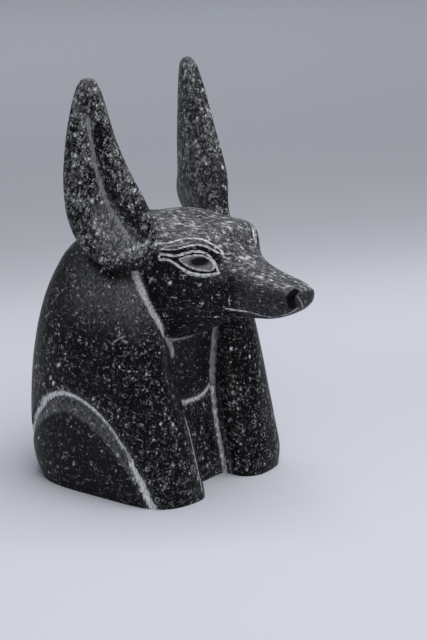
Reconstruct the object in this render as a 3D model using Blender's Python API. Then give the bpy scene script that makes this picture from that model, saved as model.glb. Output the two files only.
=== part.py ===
"""Jackal head on a plain-wigged bust, carved from one block of black stone.

The block is modelled as a sculptor roughs it out: a wig that runs down to a flat base, a
channel cut between its two front lappets, a long-snouted head and two tall ears, all
fused into one body. The lines of the carving are then cut into that body.

Frame: the origin is on the underside, below the middle of the head. +Z is up, the snout
points along -Y and the figure's right ear is on the -X side. Sizes are in millimetres
and are turned into metres where the meshes are made.
"""

import bmesh
import bpy
import numpy as np
from mathutils.bvhtree import BVHTree

MM = 0.001

# Wig and lappets
WIG_TOP = 118.0
WIG_WIDTH = 95.5
WIG_BACK = 59.0
WIG_MIDDLE = 6.0
LAPPET_REACH = 35.6

# Head
HEAD_RISE = 3.6
HEAD_TOP = WIG_TOP + HEAD_RISE
HEAD_WIDTH = 57.0
HEAD_BACK = 28.0
SNOUT_REACH = 75.0

# Channel between the lappets, with the neck and chest at its bottom
CHANNEL_WIDTH = 28.0
CHANNEL_DEPTH = 16.0
CHANNEL_TOP = 0.69 * HEAD_TOP
LAPPET_EDGE = 5.0

# Ears
EAR_SINK = 17.0
EAR_HEIGHT = 81.0
EAR_FOOT = WIG_TOP - EAR_SINK
EAR_WIDTH = 40.0
EAR_THICKNESS = 15.0
EAR_SPREAD = 0.712 * WIG_WIDTH / 2

# Lines of the carving
GROOVE_WIDTH = 2.8
GROOVE_DEPTH = 0.9
FINE_WIDTH = 1.5
FINE_DEPTH = 0.55
SHOULDER_HEIGHT = 43.4
BEVEL_WIDTH = 9.5
BEVEL_DEPTH = 1.3
COLLAR_LEVEL = 36.0
COLLAR_RISE = 4.0
NECK_STEP = 0.6
EYE_START = 0.22 * SNOUT_REACH
EYE_LENGTH = 22.7
EYE_LEVEL = 0.872 * HEAD_TOP
EYE_HEIGHT = 10.0
MOUTH_LEVEL = 0.702 * HEAD_TOP
NOSTRIL_SIZE = 2.4
NOSTRIL_DEPTH = 0.9

# Mesh settings
RING_POINTS = 96
VOXEL = 0.8
EVEN_STEPS = 5
ROLL_STEPS = 80
LINE_STEP = 0.4
TRIANGLES = 9000


def smooth_through(stations, column):
    """A smooth function through one column of a table whose first column is the place."""
    place = np.array([row[0] for row in stations], float)
    value = np.array([row[column] for row in stations], float)
    slope = np.gradient(value, place)

    def at(x):
        x = np.clip(x, place[0], place[-1])
        i = np.clip(np.searchsorted(place, x) - 1, 0, len(place) - 2)
        step = place[i + 1] - place[i]
        t = (x - place[i]) / step
        return (
            (2 * t**3 - 3 * t**2 + 1) * value[i]
            + (t**3 - 2 * t**2 + t) * step * slope[i]
            + (3 * t**2 - 2 * t**3) * value[i + 1]
            + (t**3 - t**2) * step * slope[i + 1]
        )

    return at


def signed_power(x, power):
    """The power of a number's size, with the number's own sign."""
    return np.sign(x) * np.abs(x) ** power


def loft(name, rings):
    """A closed body through rings of equally many points, in millimetres."""
    bm = bmesh.new()
    loops = []
    for ring in rings:
        verts = [bm.verts.new([c * MM for c in point]) for point in ring]
        count = len(verts)
        loops.append([bm.edges.new((verts[i], verts[(i + 1) % count])) for i in range(count)])
    for low, high in zip(loops, loops[1:]):
        bmesh.ops.bridge_loops(bm, edges=low + high)
    bmesh.ops.holes_fill(bm, edges=loops[0] + loops[-1])
    bmesh.ops.recalc_face_normals(bm, faces=bm.faces)
    mesh = bpy.data.meshes.new(name)
    bm.to_mesh(mesh)
    bm.free()
    return linked(name, mesh)


def linked(name, mesh):
    """A new object of the scene that shows the mesh."""
    body = bpy.data.objects.new(name, mesh)
    bpy.context.scene.collection.objects.link(body)
    return body


# Shares of WIG_TOP, then of WIG_WIDTH / 2, LAPPET_REACH and WIG_BACK, then the squareness
# of the ring's front and back.
WIG_STATIONS = (
    (-0.05, 0.965, 0.975, 0.820, 5.4, 3.6),
    (0.00, 0.965, 0.980, 0.860, 5.4, 3.6),
    (0.05, 0.985, 0.985, 0.935, 5.4, 3.4),
    (0.17, 1.000, 0.900, 0.995, 5.0, 3.2),
    (0.32, 0.995, 0.780, 1.000, 4.7, 3.2),
    (0.46, 0.975, 0.690, 0.990, 4.3, 3.1),
    (0.59, 0.940, 0.590, 0.955, 4.0, 3.0),
    (0.69, 0.895, 0.480, 0.910, 3.5, 2.9),
    (0.79, 0.835, 0.350, 0.835, 3.0, 2.7),
    (0.87, 0.760, 0.210, 0.735, 2.6, 2.6),
    (0.935, 0.620, 0.060, 0.590, 2.2, 2.4),
    (0.975, 0.430, -0.080, 0.440, 2.0, 2.2),
    (1.00, 0.180, -0.200, 0.290, 2.0, 2.0),
)
WIG_RINGS = 48


def wig_body():
    """The wig: level rings, square in front where the lappets hang and rounder behind."""
    half, front, back, front_square, back_square = (
        smooth_through(WIG_STATIONS, column) for column in range(1, 6)
    )
    angle = np.linspace(0, 2 * np.pi, RING_POINTS, endpoint=False)
    across, along = np.cos(angle), np.sin(angle)
    rings = []
    for share in np.linspace(WIG_STATIONS[0][0], 1, WIG_RINGS):
        square = np.where(along < 0, front_square(share), back_square(share))
        reach = np.where(
            along < 0,
            front(share) * LAPPET_REACH + WIG_MIDDLE,
            back(share) * WIG_BACK - WIG_MIDDLE,
        )
        x = half(share) * WIG_WIDTH / 2 * signed_power(across, 2 / square)
        y = WIG_MIDDLE + reach * signed_power(along, 2 / square)
        rings.append(np.column_stack([x, y, np.full_like(x, share * WIG_TOP)]))
    return loft("wig", rings)


# Shares of CHANNEL_TOP, half the width as a share of CHANNEL_WIDTH, and how far the chest
# and the lappet's inner edge stand back from the lappets' foremost reach, as shares of
# CHANNEL_DEPTH.
CHANNEL_STATIONS = (
    (-0.06, 0.500, 0.98, 0.30),
    (0.00, 0.500, 1.00, 0.31),
    (0.08, 0.500, 1.08, 0.38),
    (0.15, 0.500, 1.16, 0.50),
    (0.25, 0.505, 1.29, 0.64),
    (0.37, 0.520, 1.42, 0.80),
    (0.50, 0.560, 1.54, 1.04),
    (0.63, 0.640, 1.62, 1.22),
    (0.83, 0.760, 1.66, 1.30),
    (1.00, 0.860, 1.66, 1.34),
)
CHANNEL_RINGS = 32
CHANNEL_FRONT = 25.0

# The lappet's edge as a lip that rolls into the channel: how far outside the channel's
# wall and how far in front of the edge, in shares of LAPPET_EDGE.
LIP = ((3.2, 1.75), (2.2, 1.25), (1.3, 0.8), (0.55, 0.45), (0.1, 0.0), (-0.1, -0.5))
LIP_CREST = LIP[2]

# The chest from the channel's corner to its middle: share of the wall's distance, and how
# far in front of the channel's floor, in shares of LAPPET_EDGE.
CHEST = ((1.0, 0.4), (0.9, 0.1), (0.5, 0.1), (0.0, 0.2))


def channel_at(share):
    """Half width, chest and lappet edge of the channel at a share of its height."""
    half, back, edge = (smooth_through(CHANNEL_STATIONS, column) for column in (1, 2, 3))
    floor = -LAPPET_REACH + back(share) * CHANNEL_DEPTH
    lip = -LAPPET_REACH + edge(share) * CHANNEL_DEPTH
    return half(share) * CHANNEL_WIDTH, floor, lip


def channel_cutter():
    """The space between the lappets, from below the base to inside the head."""
    rings = []
    for share in np.linspace(CHANNEL_STATIONS[0][0], 1, CHANNEL_RINGS):
        wall, floor, lip = channel_at(share)
        outline = [(wall + LIP[0][0] * LAPPET_EDGE, -LAPPET_REACH - CHANNEL_FRONT)]
        outline += [(wall + out * LAPPET_EDGE, lip - front * LAPPET_EDGE) for out, front in LIP]
        outline += [(out * wall, floor - front * LAPPET_EDGE) for out, front in CHEST]
        outline += [(-x, y) for x, y in reversed(outline[:-1])]
        rings.append([(x, y, share * CHANNEL_TOP) for x, y in outline])
    cutter = loft("channel_cutter", rings)
    cutter.hide_render = True
    cutter.display_type = "WIRE"
    return cutter


# Place from back (0) to nose (1) between HEAD_BACK and -SNOUT_REACH; half width at the
# widest level as a share of HEAD_WIDTH; top, bottom and widest level as shares of
# HEAD_TOP; and the squareness of the upper and lower half of the section.
HEAD_STATIONS = (
    (0.000, 0.200, 0.914, 0.641, 0.789, 2.2, 2.2),
    (0.146, 0.351, 0.970, 0.576, 0.798, 2.3, 2.6),
    (0.311, 0.484, 1.000, 0.543, 0.806, 2.6, 3.2),
    (0.408, 0.496, 0.993, 0.551, 0.814, 2.7, 3.0),
    (0.485, 0.491, 0.982, 0.580, 0.835, 2.7, 2.5),
    (0.553, 0.453, 0.980, 0.610, 0.855, 2.7, 2.1),
    (0.602, 0.358, 0.967, 0.632, 0.855, 2.7, 2.4),
    (0.641, 0.281, 0.932, 0.643, 0.835, 2.4, 2.6),
    (0.680, 0.240, 0.898, 0.652, 0.798, 2.3, 2.6),
    (0.728, 0.217, 0.873, 0.661, 0.773, 2.2, 2.4),
    (0.777, 0.203, 0.852, 0.666, 0.761, 2.3, 2.3),
    (0.835, 0.187, 0.839, 0.673, 0.757, 2.3, 2.4),
    (0.893, 0.168, 0.828, 0.688, 0.755, 2.4, 2.4),
    (0.942, 0.149, 0.818, 0.707, 0.760, 2.5, 2.4),
    (0.974, 0.130, 0.808, 0.724, 0.766, 2.5, 2.3),
    (0.992, 0.102, 0.802, 0.739, 0.770, 2.4, 2.2),
    (1.000, 0.061, 0.790, 0.751, 0.772, 2.1, 2.1),
)
HEAD_RINGS = 72


def head_body():
    """The head: upright rings from inside the wig to the nose."""
    columns = [smooth_through(HEAD_STATIONS, column) for column in range(1, 7)]
    angle = np.linspace(0, 2 * np.pi, RING_POINTS, endpoint=False)
    across, up = np.cos(angle), np.sin(angle)
    rings = []
    for share in np.linspace(0, 1, HEAD_RINGS):
        half, top, bottom, middle, top_square, bottom_square = (f(share) for f in columns)
        square = np.where(up > 0, top_square, bottom_square)
        reach = np.where(up > 0, top - middle, middle - bottom)
        x = half * HEAD_WIDTH * signed_power(across, 2 / square)
        z = HEAD_TOP * (middle + reach * signed_power(up, 2 / square))
        y = HEAD_BACK - share * (HEAD_BACK + SNOUT_REACH)
        rings.append(np.column_stack([x, np.full_like(x, y), z]))
    return loft("head", rings)


# Height from foot (0) to tip (1); the front rim's and the back rim's distance from the
# middle plane as a share of EAR_SPREAD and place along Y as a share of EAR_WIDTH; the
# thickness and the depth of the hollow as shares of EAR_THICKNESS; the place of the
# hollow across the ear and its half width, as shares of the ear's width there; and how
# much sharper the back half of the inner face runs out than the rims do.
EAR_STATIONS = (
    (0.000, 0.860, -0.175, 1.118, 0.025, 0.55, 0.00, 0.34, 0.25, 0.35),
    (0.040, 0.810, -0.250, 1.176, 0.200, 0.80, 0.03, 0.34, 0.25, 0.35),
    (0.120, 0.755, -0.300, 1.206, 0.412, 0.98, 0.17, 0.34, 0.25, 0.35),
    (0.240, 0.720, -0.283, 1.206, 0.575, 1.00, 0.27, 0.38, 0.22, 0.53),
    (0.360, 0.812, -0.223, 1.191, 0.637, 0.94, 0.30, 0.43, 0.18, 1.35),
    (0.470, 0.885, -0.120, 1.176, 0.657, 0.88, 0.29, 0.47, 0.16, 1.70),
    (0.580, 0.930, -0.010, 1.162, 0.650, 0.80, 0.26, 0.47, 0.14, 1.70),
    (0.700, 0.955, 0.098, 1.147, 0.625, 0.74, 0.22, 0.46, 0.13, 1.70),
    (0.820, 0.960, 0.188, 1.126, 0.585, 0.66, 0.16, 0.46, 0.13, 1.40),
    (0.920, 0.950, 0.268, 1.103, 0.540, 0.56, 0.08, 0.46, 0.13, 1.20),
    (0.975, 0.945, 0.330, 1.082, 0.500, 0.42, 0.02, 0.46, 0.13, 1.00),
    (1.000, 0.940, 0.380, 1.059, 0.465, 0.22, 0.00, 0.46, 0.13, 1.00),
)
EAR_RINGS = 64

# The share of the thickness outside the ear's chord, and how blunt its two rims are
EAR_OUTER = 0.40
EAR_RIM = 0.42


def ear_body(side):
    """One ear as level rings: a lens whose outer face is hollowed along its length."""
    columns = [smooth_through(EAR_STATIONS, column) for column in range(1, 10)]
    across = 0.5 - 0.5 * np.cos(np.linspace(0, np.pi, RING_POINTS // 2 + 1))
    lens = np.clip(1 - (2 * across - 1) ** 2, 0, 1)
    rings = []
    for share in np.linspace(0, 1, EAR_RINGS):
        values = [f(share) for f in columns]
        front_x, front_y, back_x, back_y, thick, hollow, centre, spread, sharp = values
        front = np.array([front_x * EAR_SPREAD, front_y * EAR_WIDTH])
        chord = np.array([back_x * EAR_SPREAD, back_y * EAR_WIDTH]) - front
        out = np.array([chord[1], -chord[0]]) / np.linalg.norm(chord)
        outer = thick * EAR_OUTER - hollow * np.exp(-(((across - centre) / spread) ** 2))
        outer = outer * lens**EAR_RIM
        inner = -thick * (1 - EAR_OUTER) * lens ** np.where(across > 0.5, EAR_RIM * sharp, EAR_RIM)
        line = EAR_THICKNESS * np.concatenate([outer, inner[-2:0:-1]])
        place = np.concatenate([across, across[-2:0:-1]])
        point = front + np.outer(place, chord) + np.outer(line, out)
        z = np.full(len(point), EAR_FOOT + share * EAR_HEIGHT)
        rings.append(np.column_stack([side * point[:, 0], point[:, 1], z]))
    return loft("ear_right" if side < 0 else "ear_left", rings)


def modified_mesh(body, name):
    """The body's mesh as its modifiers leave it."""
    graph = bpy.context.evaluated_depsgraph_get()
    mesh = bpy.data.meshes.new_from_object(body.evaluated_get(graph))
    mesh.name = name
    return mesh


def replaced(body, name):
    """A new body with the mesh the old one's modifiers leave; the old one is removed."""
    mesh = modified_mesh(body, name)
    bpy.data.objects.remove(body)
    return linked(name, mesh)


def fused_block():
    """Wig, head and ears as one closed body of even mesh."""
    wig = wig_body()
    cutter = channel_cutter()
    cut = wig.modifiers.new("channel", "BOOLEAN")
    cut.operation = "DIFFERENCE"
    cut.solver = "EXACT"
    cut.object = cutter
    block = replaced(wig, "block")
    bpy.data.objects.remove(cutter)
    pieces = [head_body(), ear_body(-1), ear_body(1)]
    bm = bmesh.new()
    for piece in [block] + pieces:
        bm.from_mesh(piece.data)
    bm.to_mesh(block.data)
    bm.free()
    for piece in pieces:
        bpy.data.objects.remove(piece)
    remesh = block.modifiers.new("fuse", "REMESH")
    remesh.mode = "VOXEL"
    remesh.voxel_size = VOXEL * MM
    return replaced(block, "block")


def points_of(mesh):
    """The mesh's vertices in millimetres."""
    flat = np.empty(len(mesh.vertices) * 3, np.float32)
    mesh.vertices.foreach_get("co", flat)
    return flat.reshape(-1, 3).astype(float) / MM


def normals_of(mesh):
    """The direction the surface faces at each vertex."""
    flat = np.empty(len(mesh.vertices) * 3, np.float32)
    mesh.vertex_normals.foreach_get("vector", flat)
    return flat.reshape(-1, 3).astype(float)


def distance_to(line, points, reach):
    """Each point's distance to a line of closely set places, if nearer than the reach."""
    near = np.all((points > line.min(0) - reach) & (points < line.max(0) + reach), axis=1)
    distance = np.full(len(points), np.inf)
    gap = points[near][:, None, :] - line[None, :, :]
    distance[near] = np.sqrt((gap**2).sum(axis=2)).min(axis=1)
    return distance


# Where the head runs out onto the wig between the ears, and how far the surface is rolled
# there and along the lappets' edges; the roll is full until SOFT_FALL short of its reach.
CROWN = (0.0, HEAD_BACK / 2, WIG_TOP - 2)
CROWN_RADIUS = 34.0
EDGE_RADIUS = 11.0
SOFT_FALL = 0.35
EDGE_END = 0.9


def soften(block):
    """Rolls the lappets' inner edges, blends the crown and evens the whole surface."""
    points = points_of(block.data)
    shares = np.arange(CHANNEL_STATIONS[0][0], EDGE_END, LINE_STEP / CHANNEL_TOP)
    wall, _, lip = channel_at(shares)
    out, front = LIP_CREST
    weight = np.zeros(len(points))
    for side in (-1, 1):
        x = side * (wall + out * LAPPET_EDGE)
        edge = np.column_stack([x, lip - front * LAPPET_EDGE, shares * CHANNEL_TOP])
        near = distance_to(edge, points, EDGE_RADIUS)
        weight = np.maximum(weight, np.clip((1 - near / EDGE_RADIUS) / SOFT_FALL, 0, 1))
    from_crown = np.linalg.norm(points - np.array(CROWN), axis=1)
    weight = np.maximum(weight, np.clip((1 - from_crown / CROWN_RADIUS) / SOFT_FALL, 0, 1))
    group = block.vertex_groups.new(name="soft")
    for index in np.flatnonzero(weight > 0):
        group.add([int(index)], float(weight[index]), "REPLACE")
    for name, steps, members in (("even", EVEN_STEPS, ""), ("roll", ROLL_STEPS, "soft")):
        smooth = block.modifiers.new(name, "SMOOTH")
        smooth.iterations = steps
        smooth.vertex_group = members
    return replaced(block, "block")


def dense(controls):
    """A smooth line through a few control points, at steps of about LINE_STEP."""
    controls = np.array(controls, float)
    gaps = np.linalg.norm(np.diff(controls, axis=0), axis=1)
    place = np.concatenate([[0.0], np.cumsum(gaps)])
    table = np.column_stack([place, controls])
    at = np.linspace(0, place[-1], int(place[-1] / LINE_STEP) + 2)
    columns = range(1, table.shape[1])
    return np.column_stack([smooth_through(table, column)(at) for column in columns])


def laid(tree, line):
    """The line moved onto the nearest places of the surface."""
    return np.array([tree.find_nearest(point * MM)[0] for point in line]) / MM


def seen_from_side(tree, side, line):
    """A line of Y and Z laid on the surface as it is seen along X."""
    start, look = side * WIG_WIDTH * MM, (-side, 0, 0)
    hits = [tree.ray_cast((start, y * MM, z * MM), look)[0] for y, z in line]
    return np.array([hit for hit in hits if hit is not None]) / MM


def groove(distance, width, depth):
    """Depth of a rounded groove of the given width at a distance from its middle."""
    return depth * np.cos(np.clip(distance / width, 0, 0.5) * np.pi) ** 2


# The edge between wig and shoulder: angle round an upright axis through WIG_MIDDLE, from
# the side (0) to the back (90), and height as a share of SHOULDER_HEIGHT.
SHOULDER_LINE = (
    (-39.0, -0.06),
    (-33.3, 0.22),
    (-25.3, 0.47),
    (-15.6, 0.70),
    (-5.0, 0.865),
    (5.4, 0.96),
    (18.1, 1.00),
    (30.6, 0.92),
    (41.8, 0.72),
    (51.0, 0.44),
    (58.0, 0.16),
    (62.0, -0.06),
)

# The slope below that edge: its width at the base as a share of the width at the top of
# the arch, and how hollow it is.
BEVEL_FOOT = 0.35
BEVEL_HOLLOW = 1.5


def shoulder_cut(tree, side, points):
    """The arched groove over the shoulder, with a long slope on the shoulder's side."""
    angle, height = dense([(a, h * SHOULDER_HEIGHT) for a, h in SHOULDER_LINE]).T
    away = np.column_stack([side * np.cos(np.radians(angle)), np.sin(np.radians(angle))])
    line = laid(tree, np.column_stack([away * WIG_WIDTH / 2 + (0, WIG_MIDDLE), height]))
    near = distance_to(line, points, BEVEL_WIDTH)
    turn = np.degrees(np.arctan2(points[:, 1] - WIG_MIDDLE, side * points[:, 0]))
    inside = points[:, 2] < np.interp(turn, angle, height)
    rise = np.clip(points[:, 2] / SHOULDER_HEIGHT, 0, 1)
    breadth = BEVEL_WIDTH * (BEVEL_FOOT + (1 - BEVEL_FOOT) * rise)
    slope = BEVEL_DEPTH * np.clip(1 - near / breadth, 0, 1) ** BEVEL_HOLLOW
    return np.where(inside, slope, BEVEL_DEPTH * np.clip(1 - 2 * near / GROOVE_WIDTH, 0, 1))


# Lines of the eye as seen from the side: place from the outer end (0) to the inner corner
# (1) of the eye and height above EYE_LEVEL, as shares of EYE_LENGTH and EYE_HEIGHT.
BROW_TOP = (
    (-0.17, 0.67), (0.11, 0.79), (0.28, 0.93), (0.48, 1.03), (0.67, 0.99), (0.79, 0.83),
    (0.90, 0.59), (0.97, 0.38),
)
BROW_LOW = (
    (0.00, 0.51), (0.35, 0.62), (0.48, 0.74), (0.66, 0.80), (0.80, 0.67), (0.91, 0.44), (0.97, 0.36)
)
UPPER_LID = (
    (0.00, 0.31), (0.18, 0.32), (0.40, 0.37), (0.53, 0.48), (0.68, 0.55), (0.80, 0.43),
    (0.88, 0.18), (0.93, -0.03), (0.99, -0.40),
)
LOWER_LID = (
    (0.00, 0.07), (0.20, 0.12), (0.37, 0.00), (0.52, -0.20), (0.63, -0.37), (0.75, -0.47),
    (0.88, -0.48), (0.99, -0.42),
)
OUTER_BAR = ((0.00, 0.31), (-0.02, 0.19), (0.00, 0.07))
EYE_LINES = (BROW_TOP, BROW_LOW, UPPER_LID, LOWER_LID, OUTER_BAR)

# The line of the mouth: place from back (0) to nose (1) of the head and height above
# MOUTH_LEVEL in shares of EYE_HEIGHT.
MOUTH_LINE = (
    (0.672, 0.05), (0.73, 0.0), (0.80, -0.05), (0.86, 0.0), (0.92, 0.12), (0.965, 0.3), (0.99, 0.5)
)

# The edge between wig and face, the crease under the jaw and the nostril: places across,
# along and up, as shares of HEAD_WIDTH / 2, SNOUT_REACH and HEAD_TOP.
FACE_LINE = (
    (1.063, 0.080, 0.822),
    (1.084, 0.125, 0.762),
    (1.063, 0.169, 0.711),
    (1.011, 0.212, 0.658),
    (0.905, 0.240, 0.600),
)
JAW_LINE = ((0.842, 0.187, 0.580), (0.421, 0.133, 0.543), (0.0, 0.127, 0.535))
NOSTRIL = ((0.21, 0.967, 0.786),)


def on_head(side, places):
    """Places given as shares of the head's sizes, on the given side, in millimetres."""
    return np.array(places) * (side * HEAD_WIDTH / 2, -SNOUT_REACH, HEAD_TOP)


def head_cuts(tree, side, points):
    """The eye with its lids and brow, the mouth and the nostril of one side."""
    length = HEAD_BACK + SNOUT_REACH
    mouth = [(HEAD_BACK - s * length, MOUTH_LEVEL + h * EYE_HEIGHT) for s, h in MOUTH_LINE]
    lines = [seen_from_side(tree, side, dense(mouth))]
    for controls in EYE_LINES:
        places = [(-EYE_START - s * EYE_LENGTH, EYE_LEVEL + h * EYE_HEIGHT) for s, h in controls]
        lines.append(seen_from_side(tree, side, dense(places)))
    depth = np.zeros(len(points))
    for line in lines:
        near = distance_to(line, points, FINE_WIDTH)
        depth = np.maximum(depth, groove(near, FINE_WIDTH, FINE_DEPTH))
    near = distance_to(laid(tree, on_head(side, NOSTRIL)), points, NOSTRIL_SIZE * 2)
    depth = np.maximum(depth, NOSTRIL_DEPTH * np.exp(-((near / NOSTRIL_SIZE) ** 2)))
    for controls in (FACE_LINE, JAW_LINE):
        near = distance_to(laid(tree, dense(on_head(side, controls))), points, GROOVE_WIDTH)
        depth = np.maximum(depth, groove(near, GROOVE_WIDTH, GROOVE_DEPTH))
    return depth


# How far the corner grooves and the lowered chest keep from the channel's corner, how far
# from the channel's floor the surface still counts as chest, and where the corners end.
CORNER_GAP = 0.5
CHEST_REACH = 2.0
CORNER_END = 0.78


def chest_cuts(tree, points):
    """The corners of the channel, the collar's line and the chest set back below it."""
    shares = np.arange(CHANNEL_STATIONS[0][0], CORNER_END, LINE_STEP / CHANNEL_TOP)
    wall, floor, _ = channel_at(shares)
    x = wall - CORNER_GAP
    lines = [
        np.column_stack([side * x, floor - CORNER_GAP, shares * CHANNEL_TOP]) for side in (-1, 1)
    ]
    x = np.arange(-0.5, 0.5, LINE_STEP / CHANNEL_WIDTH) * CHANNEL_WIDTH
    z = COLLAR_LEVEL + COLLAR_RISE * np.abs(2 * x / CHANNEL_WIDTH) ** 3
    lines.append(np.column_stack([x, channel_at(z / CHANNEL_TOP)[1], z]))
    depth = np.zeros(len(points))
    for line in lines:
        near = distance_to(laid(tree, line), points, GROOVE_WIDTH)
        depth = np.maximum(depth, groove(near, GROOVE_WIDTH, GROOVE_DEPTH))
    wall, floor, _ = channel_at(points[:, 2] / CHANNEL_TOP)
    x = np.abs(points[:, 0])
    level = COLLAR_LEVEL + COLLAR_RISE * (2 * x / CHANNEL_WIDTH) ** 3
    chest = (x < wall - CORNER_GAP) & (np.abs(points[:, 1] - floor) < CHEST_REACH)
    return np.maximum(depth, np.where(chest & (points[:, 2] < level), NECK_STEP, 0))


def carve(block):
    """Cuts all the lines into the surface."""
    mesh = block.data
    tree = BVHTree.FromObject(block, bpy.context.evaluated_depsgraph_get())
    points = points_of(mesh)
    depth = chest_cuts(tree, points)
    for side in (-1, 1):
        depth = np.maximum(depth, shoulder_cut(tree, side, points))
        depth = np.maximum(depth, head_cuts(tree, side, points))
    moved = points - normals_of(mesh) * depth[:, None]
    mesh.vertices.foreach_set("co", (moved * MM).astype(np.float32).ravel())
    mesh.update()


def thinned(block):
    """The same surface with fewer triangles, kept where it bends."""
    block.data.calc_loop_triangles()
    thin = block.modifiers.new("thin", "DECIMATE")
    thin.ratio = TRIANGLES / len(block.data.loop_triangles)
    return replaced(block, "anubis_head")


# A face counts as the sawn underside when it looks down this squarely.
LEVEL = -0.999


def saw_base(body):
    """Saws the block off level and leaves one flat face underneath."""
    bm = bmesh.new()
    bm.from_mesh(body.data)
    whole = bm.verts[:] + bm.edges[:] + bm.faces[:]
    cut = bmesh.ops.bisect_plane(
        bm, geom=whole, plane_co=(0, 0, 0), plane_no=(0, 0, 1), clear_inner=True
    )
    rim = [e for e in cut["geom_cut"] if isinstance(e, bmesh.types.BMEdge)]
    bmesh.ops.holes_fill(bm, edges=rim)
    bmesh.ops.recalc_face_normals(bm, faces=bm.faces)
    for face in bm.faces:
        face.smooth = face.normal.z > LEVEL or face.calc_center_median().z > MM
    bm.to_mesh(body.data)
    bm.free()


def stone():
    """Polished near-black stone."""
    material = bpy.data.materials.new("black_stone")
    material.use_nodes = True
    shader = material.node_tree.nodes["Principled BSDF"]
    shader.inputs["Base Color"].default_value = (0.021, 0.021, 0.023, 1.0)
    shader.inputs["Roughness"].default_value = 0.42
    shader.inputs["Metallic"].default_value = 0.0
    return material


def main():
    """Roughs out the block, carves it, saws its base and gives it its stone."""
    for old in list(bpy.data.objects):
        bpy.data.objects.remove(old)
    block = soften(fused_block())
    carve(block)
    body = thinned(block)
    saw_base(body)
    body.data.materials.clear()
    body.data.materials.append(stone())


if __name__ == "__main__":
    main()
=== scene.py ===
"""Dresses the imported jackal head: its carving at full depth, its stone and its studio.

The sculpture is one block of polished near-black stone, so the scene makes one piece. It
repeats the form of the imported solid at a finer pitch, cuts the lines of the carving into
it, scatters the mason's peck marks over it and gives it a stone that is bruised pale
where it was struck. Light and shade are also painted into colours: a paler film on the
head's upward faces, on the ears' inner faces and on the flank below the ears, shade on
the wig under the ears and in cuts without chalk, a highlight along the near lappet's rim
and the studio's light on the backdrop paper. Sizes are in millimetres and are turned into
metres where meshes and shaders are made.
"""

import logging
import math
from collections.abc import Callable, Sequence
from dataclasses import dataclass, field
from enum import Enum

import bmesh
import bpy
import numpy as np
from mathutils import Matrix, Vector
from mathutils.bvhtree import BVHTree


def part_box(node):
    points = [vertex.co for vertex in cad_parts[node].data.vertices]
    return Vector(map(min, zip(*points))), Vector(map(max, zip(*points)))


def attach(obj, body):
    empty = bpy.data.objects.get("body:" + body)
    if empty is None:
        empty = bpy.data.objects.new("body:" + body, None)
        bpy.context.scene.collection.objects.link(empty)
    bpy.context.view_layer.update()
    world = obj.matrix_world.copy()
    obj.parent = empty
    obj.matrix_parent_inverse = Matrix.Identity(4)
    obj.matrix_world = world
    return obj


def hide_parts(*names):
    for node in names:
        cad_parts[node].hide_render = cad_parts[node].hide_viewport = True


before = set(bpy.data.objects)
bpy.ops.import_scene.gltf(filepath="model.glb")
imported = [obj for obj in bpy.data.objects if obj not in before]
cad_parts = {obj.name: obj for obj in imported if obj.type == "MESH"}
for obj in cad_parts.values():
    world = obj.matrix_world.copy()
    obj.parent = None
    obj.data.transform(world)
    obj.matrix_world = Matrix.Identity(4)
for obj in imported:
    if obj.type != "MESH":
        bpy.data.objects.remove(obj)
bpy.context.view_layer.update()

MM = 0.001
CM2_IN_M2 = 1e4
NODE = "anubis_head"
RING_POINTS = 96
LINE_STEP = 0.4

log = logging.getLogger("jackal_head")

Table = Sequence[Sequence[float]]
Places = Sequence[Sequence[float]]
Span = tuple[float, float]
Tree = bpy.types.NodeTree
Socket = bpy.types.NodeSocket


class Side(Enum):
    """The figure's own sides: its right ear is on the -X side."""

    RIGHT = -1
    LEFT = 1


class Target(Enum):
    """What a point's distance is taken to in Geometry Nodes."""

    LINES = "EDGES"
    SURFACE = "FACES"


def smooth_through(stations: Table, column: int) -> Callable[[np.ndarray], np.ndarray]:
    """Makes a smooth function through one column of a table.

    Args:
        stations: rows whose first number is the place.
        column: the column to follow.

    Returns:
        A function of the place, held level past both ends.
    """
    place = np.array([row[0] for row in stations], float)
    value = np.array([row[column] for row in stations], float)
    slope = np.gradient(value, place)

    def at(x: np.ndarray) -> np.ndarray:
        """Follows the cubic between the two rows on either side of a place.

        Args:
            x: the place or places.

        Returns:
            The column's value there.
        """
        x = np.clip(x, place[0], place[-1])
        i = np.clip(np.searchsorted(place, x) - 1, 0, len(place) - 2)
        step = place[i + 1] - place[i]
        t = (x - place[i]) / step
        return (
            (2 * t**3 - 3 * t**2 + 1) * value[i]
            + (t**3 - 2 * t**2 + t) * step * slope[i]
            + (3 * t**2 - 2 * t**3) * value[i + 1]
            + (t**3 - t**2) * step * slope[i + 1]
        )

    return at


def signed_power(x: np.ndarray, power: np.ndarray) -> np.ndarray:
    """The power of a number's size, with the number's own sign."""
    return np.sign(x) * np.abs(x) ** power


def ramp(x: np.ndarray, low: float, high: float) -> np.ndarray:
    """Rises smoothly from 0 at low to 1 at high, which may be the smaller number."""
    t = np.clip((x - low) / (high - low), 0, 1)
    return t * t * (3 - 2 * t)


def linked(name: str, mesh: bpy.types.Mesh) -> bpy.types.Object:
    """Puts a mesh into the scene.

    Args:
        name: the new object's name.
        mesh: the mesh it shows.

    Returns:
        The object.
    """
    body = bpy.data.objects.new(name, mesh)
    bpy.context.scene.collection.objects.link(body)
    return body


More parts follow.
